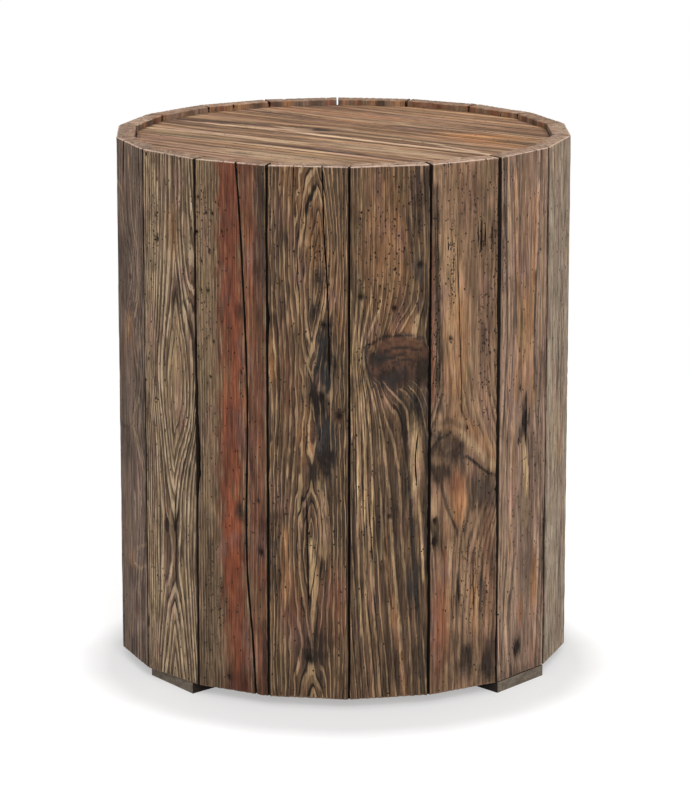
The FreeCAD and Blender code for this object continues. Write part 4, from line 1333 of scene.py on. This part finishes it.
def top_face(board, number):
    """Outline, grain and relief of a top board's face, with its drawing laid along it."""
    low = TOP_JOINTS[number - 1] + TOP_GAP / 2 if number else -TOP_APOTHEM + TOP_PLAY
    high = TOP_JOINTS[number] - TOP_GAP / 2 if number < len(TOP_JOINTS) else TOP_APOTHEM - TOP_PLAY
    middle = {0: high, len(TOP_JOINTS): low}.get(number, (low + high) / 2)
    count = max(4, round((high - low) / TOP_COLUMN_STEP))
    aside = low + (high - low) * fine_ended(count, TOP_FINE_COLUMNS, count)
    start, end = top_ends(aside)
    steps = round(float(np.max(end - start)) / ROW_STEP)
    along = start + (end - start) * fine_ended(steps, TOP_FINE_ROWS, steps - 1)[:, None]
    across = np.repeat((aside - middle)[None, :], len(along), 0)
    down = along + TOP_REACH
    seed = TOP_SEED + TOP_SEED_STEP * number
    rings, tones, worm, knot = draw_grain(board, across, down, seed)
    sink = RING_RELIEF * (1 - ridge_height(rings))
    sink = sink + TOP_FIBRE_RELIEF * (1 + wander(seed + TOP_SEEDS.fibres, across, down, 6, 50))
    decay = 1 + wander(seed + TOP_SEEDS.decay, across, down, 6, 18)
    sink = sink + TOP_STAIN_DECAY * tones[..., STAIN] * decay
    wear = wander(seed + TOP_SEEDS.wear, across, down, 20, 40)
    radius = np.clip(TOP_ARRIS_RADIUS + 0.4 * wear, *TOP_ARRIS_LIMITS)
    from_side = np.minimum(aside - low, high - aside)
    from_end = np.minimum(along - start, end - along)
    grime_reach = TOP_GRIME_REACH + 0.6 * wander(seed + TOP_SEEDS.grime, across, down, 20, 40)
    side_grime = 0.7 * close_to(from_side, grime_reach)
    end_grime = close_to(from_end, TOP_END_GRIME)
    # Darker over a band along the board ends, where the boards meet the staves
    rim_band_darkening = 0.5 * close_to(from_end, TOP_RIM_BAND)
    for grime in (side_grime, end_grime, rim_band_darkening):
        tones[..., STAIN] = np.maximum(tones[..., STAIN], grime)
    return SimpleNamespace(
        low=low, high=high, aside=aside, start=start, end=end, along=along, across=across, down=down,
        rings=rings, tones=tones, worm=worm, knot=knot, sink=sink, radius=radius,
    )


def top_block(face):
    """Points of a top board with its arrises rounded, and their depth below its face."""
    depth = np.array(LAYER_SHARES)[None, :, None] * TOP_THICKNESS
    places = [(face.aside - face.low)[None, None, :], depth, (face.along - face.start)[:, None]]
    sizes = [face.high - face.low, TOP_THICKNESS, face.end - face.start]
    sink = face.sink[:, None] * np.exp(-depth / TOP_RELIEF_FADE)
    sideways, sunk, onward = round_arrises(places, sizes, face.radius[:, None], sink)
    sideways = sideways + face.low
    onward = onward + face.start
    x, y = [onward * along + sideways * aside for along, aside in zip(ALONG, ASIDE)]
    return together(x, y, TOP_FACE - sunk), depth


def build_top_board(number):
    """One top board, counted from the back right."""
    face = top_face({**PLAIN_TOP_BOARD, **TOP_BOARDS[number]}, number)
    points, depth = top_block(face)
    tones = face.tones[:, None]
    across = face.across + SHIFT_ACROSS * (number + TOP_SHIFT)
    down = face.down + SHIFT_DOWN * (number + TOP_SHIFT)
    attributes = {
        "rings": face.rings[:, None] + depth * TOP_RING_LEAN,
        "extras": together(tones[..., BRIGHT], np.maximum(tones[..., PLAIN], 0.5), 0),
        "grain_place": together(across[:, None], depth, down[:, None]),
        "tones": tones[..., :BRIGHT],
        "marks": together(0, 0, 0.5 * face.worm[:, None], face.knot[:, None]),
    }
    rows, columns = face.along.shape
    faces, hidden = board_faces(rows, columns, [0, rows - 1], 0, 0)
    piece = make_board(f"brushed_top_board_{number + 1}", points, faces, hidden, attributes)
    pine = brushed_wood(f"brushed_top_{number + 1}", TOP_COLOURS, TOP_RIDGE_SHARE, **TOP_FINISH)
    piece.data.materials.append(pine)
    return piece


for board_number in range(len(TOP_BOARDS)):
    stands_for(build_top_board(board_number), f"top_plank_{board_number + 1}")


# Panels
# Two panels of birch plywood hold the drum in shape: one in a groove under the top boards and one in
# a rebate at the lower end. Their faces are sanded and left bare.
BORDER_FROM = 224.0
BORDER_TO = 232.0


def dress(node, material):
    """Give a CAD piece that stays in view its own material."""
    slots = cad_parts[node].data.materials
    slots.clear()
    slots.append(material)


def object_place(nodes):
    """Place on the piece in millimetres."""
    return nodes.scaled(nodes.add("TexCoord").outputs["Object"], (1 / MM, 1 / MM, 1 / MM))


def plywood():
    """Sanded birch veneer, dark at the border where the panel goes into the staves."""
    material, nodes = new_material("birch_plywood")
    place = object_place(nodes)
    figure = nodes.noise(place, (0.006, 0.05, 0.9), 4.0)
    fibre = nodes.noise(place, (0.02, 0.8, 0.9), 4.0)
    face = nodes.blend(nodes.ramp(figure, 0.35, 0.65), tint(150, 122, 90), tint(178, 150, 116))
    face = nodes.blend(nodes.ramp(fibre, 0.45, 0.7, 0.0, 0.4), face, tint(122, 94, 66))
    level = nodes.scaled(place, (1.0, 1.0, 0.0))
    from_middle = nodes.vector("LENGTH", level)["Value"]
    face = nodes.blend(nodes.ramp(from_middle, BORDER_FROM, BORDER_TO), face, DARK)
    nodes.finish({
        "Base Color": face, "Roughness": 0.7, "Normal": nodes.bump(fibre, 0.3), "Specular IOR Level": 0.25,
    })
    return material


PLYWOOD = plywood()
for panel in ("sub_top_panel", "bottom_panel"):
    dress(panel, PLYWOOD)


# Feet
# Four wedges of the same board, cut off the staves and stained, lift the drum off the floor. Their faces that
# turn inward, under the drum, are painted nearly black as shade. Two screws hold each one to the bottom
# panel.
def foot_wood():
    """Stained pine, with painted shade that turns the faces which don't look outward nearly black."""
    material, nodes = new_material("foot_pine_painted_shade")
    place = object_place(nodes)
    streak = nodes.noise(place, (0.012, 0.12, 0.22), 4.0)
    fibre = nodes.noise(place, (0.04, 0.6, 0.9), 4.0)
    wood = nodes.blend(nodes.ramp(streak, 0.35, 0.65), tint(112, 101, 88), tint(138, 125, 110))
    wood = nodes.blend(nodes.ramp(fibre, 0.5, 0.72, 0.0, 0.6), wood, tint(78, 68, 58))
    surface = nodes.add("NewGeometry").outputs
    outward = nodes.vector("NORMALIZE", surface["Position"])[0]
    facing = nodes.vector("DOT_PRODUCT", surface["True Normal"], outward)["Value"]
    # Painted shade: faces turned away from the outside, under the drum, go nearly black
    wood = nodes.blend(nodes.ramp(facing, 0.5, 0.85), tint(44, 36, 31), wood)
    nodes.finish({
        "Base Color": wood, "Roughness": 0.72, "Normal": nodes.bump(fibre, 0.6), "Specular IOR Level": 0.2,
    })
    return material


FOOT_WOOD = foot_wood()
for foot in ("foot_front_right", "foot_rear_right", "foot_rear_left", "foot_front_left"):
    dress(foot, FOOT_WOOD)


# Screws
# Countersunk wood screws of bright zinc-plated steel, two to a foot. They are driven from below
# through the feet into the bottom panel.
def zinc_steel():
    """Zinc plating with a faint spangle."""
    material, nodes = new_material("zinc_steel")
    spangle = nodes.noise(object_place(nodes), (0.8, 0.8, 0.8), 3.0)
    plate = nodes.blend(spangle, tint(150, 150, 148), tint(196, 196, 192))
    nodes.finish({
        "Base Color": plate, "Metallic": 1.0, "Roughness": nodes.ramp(spangle, 0.3, 0.7, 0.28, 0.45),
    })
    return material


dress("foot_screws", zinc_steel())

# Studio
# A white floor that keeps the soft shadow of the table, in even white air, under an overhead softbox,
# a wide one at the front and two weak ones behind.
FLOOR_RADIUS = 1.5
FLOOR_SIDES = 96
FLOOR_GREY = (0.6, 0.6, 0.6, 1.0)
FLOOR_LIFT = 0.42
AIR_WHITE = (1.0, 1.0, 1.0, 1.0)
AIR_LIGHT = 0.45
TABLE_MIDDLE = Vector((0, 0, STAVE_TOP * MM / 2))

turns = [math.tau * n / FLOOR_SIDES for n in range(FLOOR_SIDES)]
floor_mesh = bpy.data.meshes.new("studio_floor")
floor_corners = [(FLOOR_RADIUS * math.cos(turn), FLOOR_RADIUS * math.sin(turn), 0) for turn in turns]
floor_mesh.from_pydata(floor_corners, [], [tuple(range(FLOOR_SIDES))])
studio_floor = bpy.data.objects.new("studio_floor", floor_mesh)
bpy.context.scene.collection.objects.link(studio_floor)

floor_material, floor = new_material("white_floor")
rays = floor.add("LightPath").outputs
seen = floor.most(rays["Is Camera Ray"], rays["Is Glossy Ray"], rays["Is Transmission Ray"])
paper = floor.add("BsdfDiffuse", {"Color": FLOOR_GREY})
glow = floor.add("Emission", {"Strength": floor.times(seen, FLOOR_LIFT)})
both = floor.add("AddShader", {0: paper.outputs[0], 1: glow.outputs[0]})
floor.add("OutputMaterial", {"Surface": both.outputs[0]})
floor_mesh.materials.append(floor_material)

world = bpy.data.worlds.new("studio_air")
bpy.context.scene.world = world
world.use_nodes = True
air = Nodes(world.node_tree)
air_rays = air.add("LightPath").outputs
air_seen = air.most(air_rays["Is Camera Ray"], air_rays["Is Transmission Ray"])
sky = air.add("Background", {"Color": AIR_WHITE, "Strength": air.ramp(air_seen, 0.0, 1.0, AIR_LIGHT, 1.0)})
air.add("OutputWorld", {"Surface": sky.outputs[0]})


def softbox(name, place, size, power):
    """Square area lamp that faces the middle of the table."""
    lamp = bpy.data.lights.new(name, "AREA")
    lamp.shape = "SQUARE"
    lamp.size = size
    lamp.energy = power
    holder = bpy.data.objects.new(name, lamp)
    holder.location = place
    holder.rotation_euler = (TABLE_MIDDLE - holder.location).to_track_quat("-Z", "Y").to_euler()
    bpy.context.scene.collection.objects.link(holder)


softbox("overhead_softbox", (0.0, 0.42, 5.0), 0.34, 112.0)
softbox("front_softbox", (0.35, -3.5, 2.2), 1.8, 78.0)
softbox("back_left_softbox", (-2.0, 2.8, 3.0), 1.6, 12.0)
softbox("back_right_softbox", (2.0, 2.8, 3.0), 1.6, 12.0)

# Camera
# A long lens a little above the table, turned so that the front joint stands just right of the middle.
# It looks down without lens shift, so the drum narrows slightly towards its base.
LENS_PIXELS = 3779.2
FRAME_HEIGHT_PIXELS = 800
SENSOR = 36.0
CAMERA_DISTANCE = 4.1578
CAMERA_HEIGHT = 1.2343
CAMERA_TILT = 12.843
CAMERA_SIDE = 1.501
CAMERA_AIM = 0.0245
camera = bpy.data.cameras.new("photo_camera")
camera.sensor_width = SENSOR
camera.lens = LENS_PIXELS / FRAME_HEIGHT_PIXELS * SENSOR
camera_stand = bpy.data.objects.new("photo_camera", camera)
side = math.radians(CAMERA_SIDE)
camera_stand.location = (-CAMERA_DISTANCE * math.sin(side), -CAMERA_DISTANCE * math.cos(side), CAMERA_HEIGHT)
camera_stand.rotation_euler = (math.radians(90 - CAMERA_TILT), 0, -math.radians(CAMERA_SIDE + CAMERA_AIM))
bpy.context.scene.collection.objects.link(camera_stand)
bpy.context.scene.camera = camera_stand
bpy.context.scene.view_settings.view_transform = "Standard"
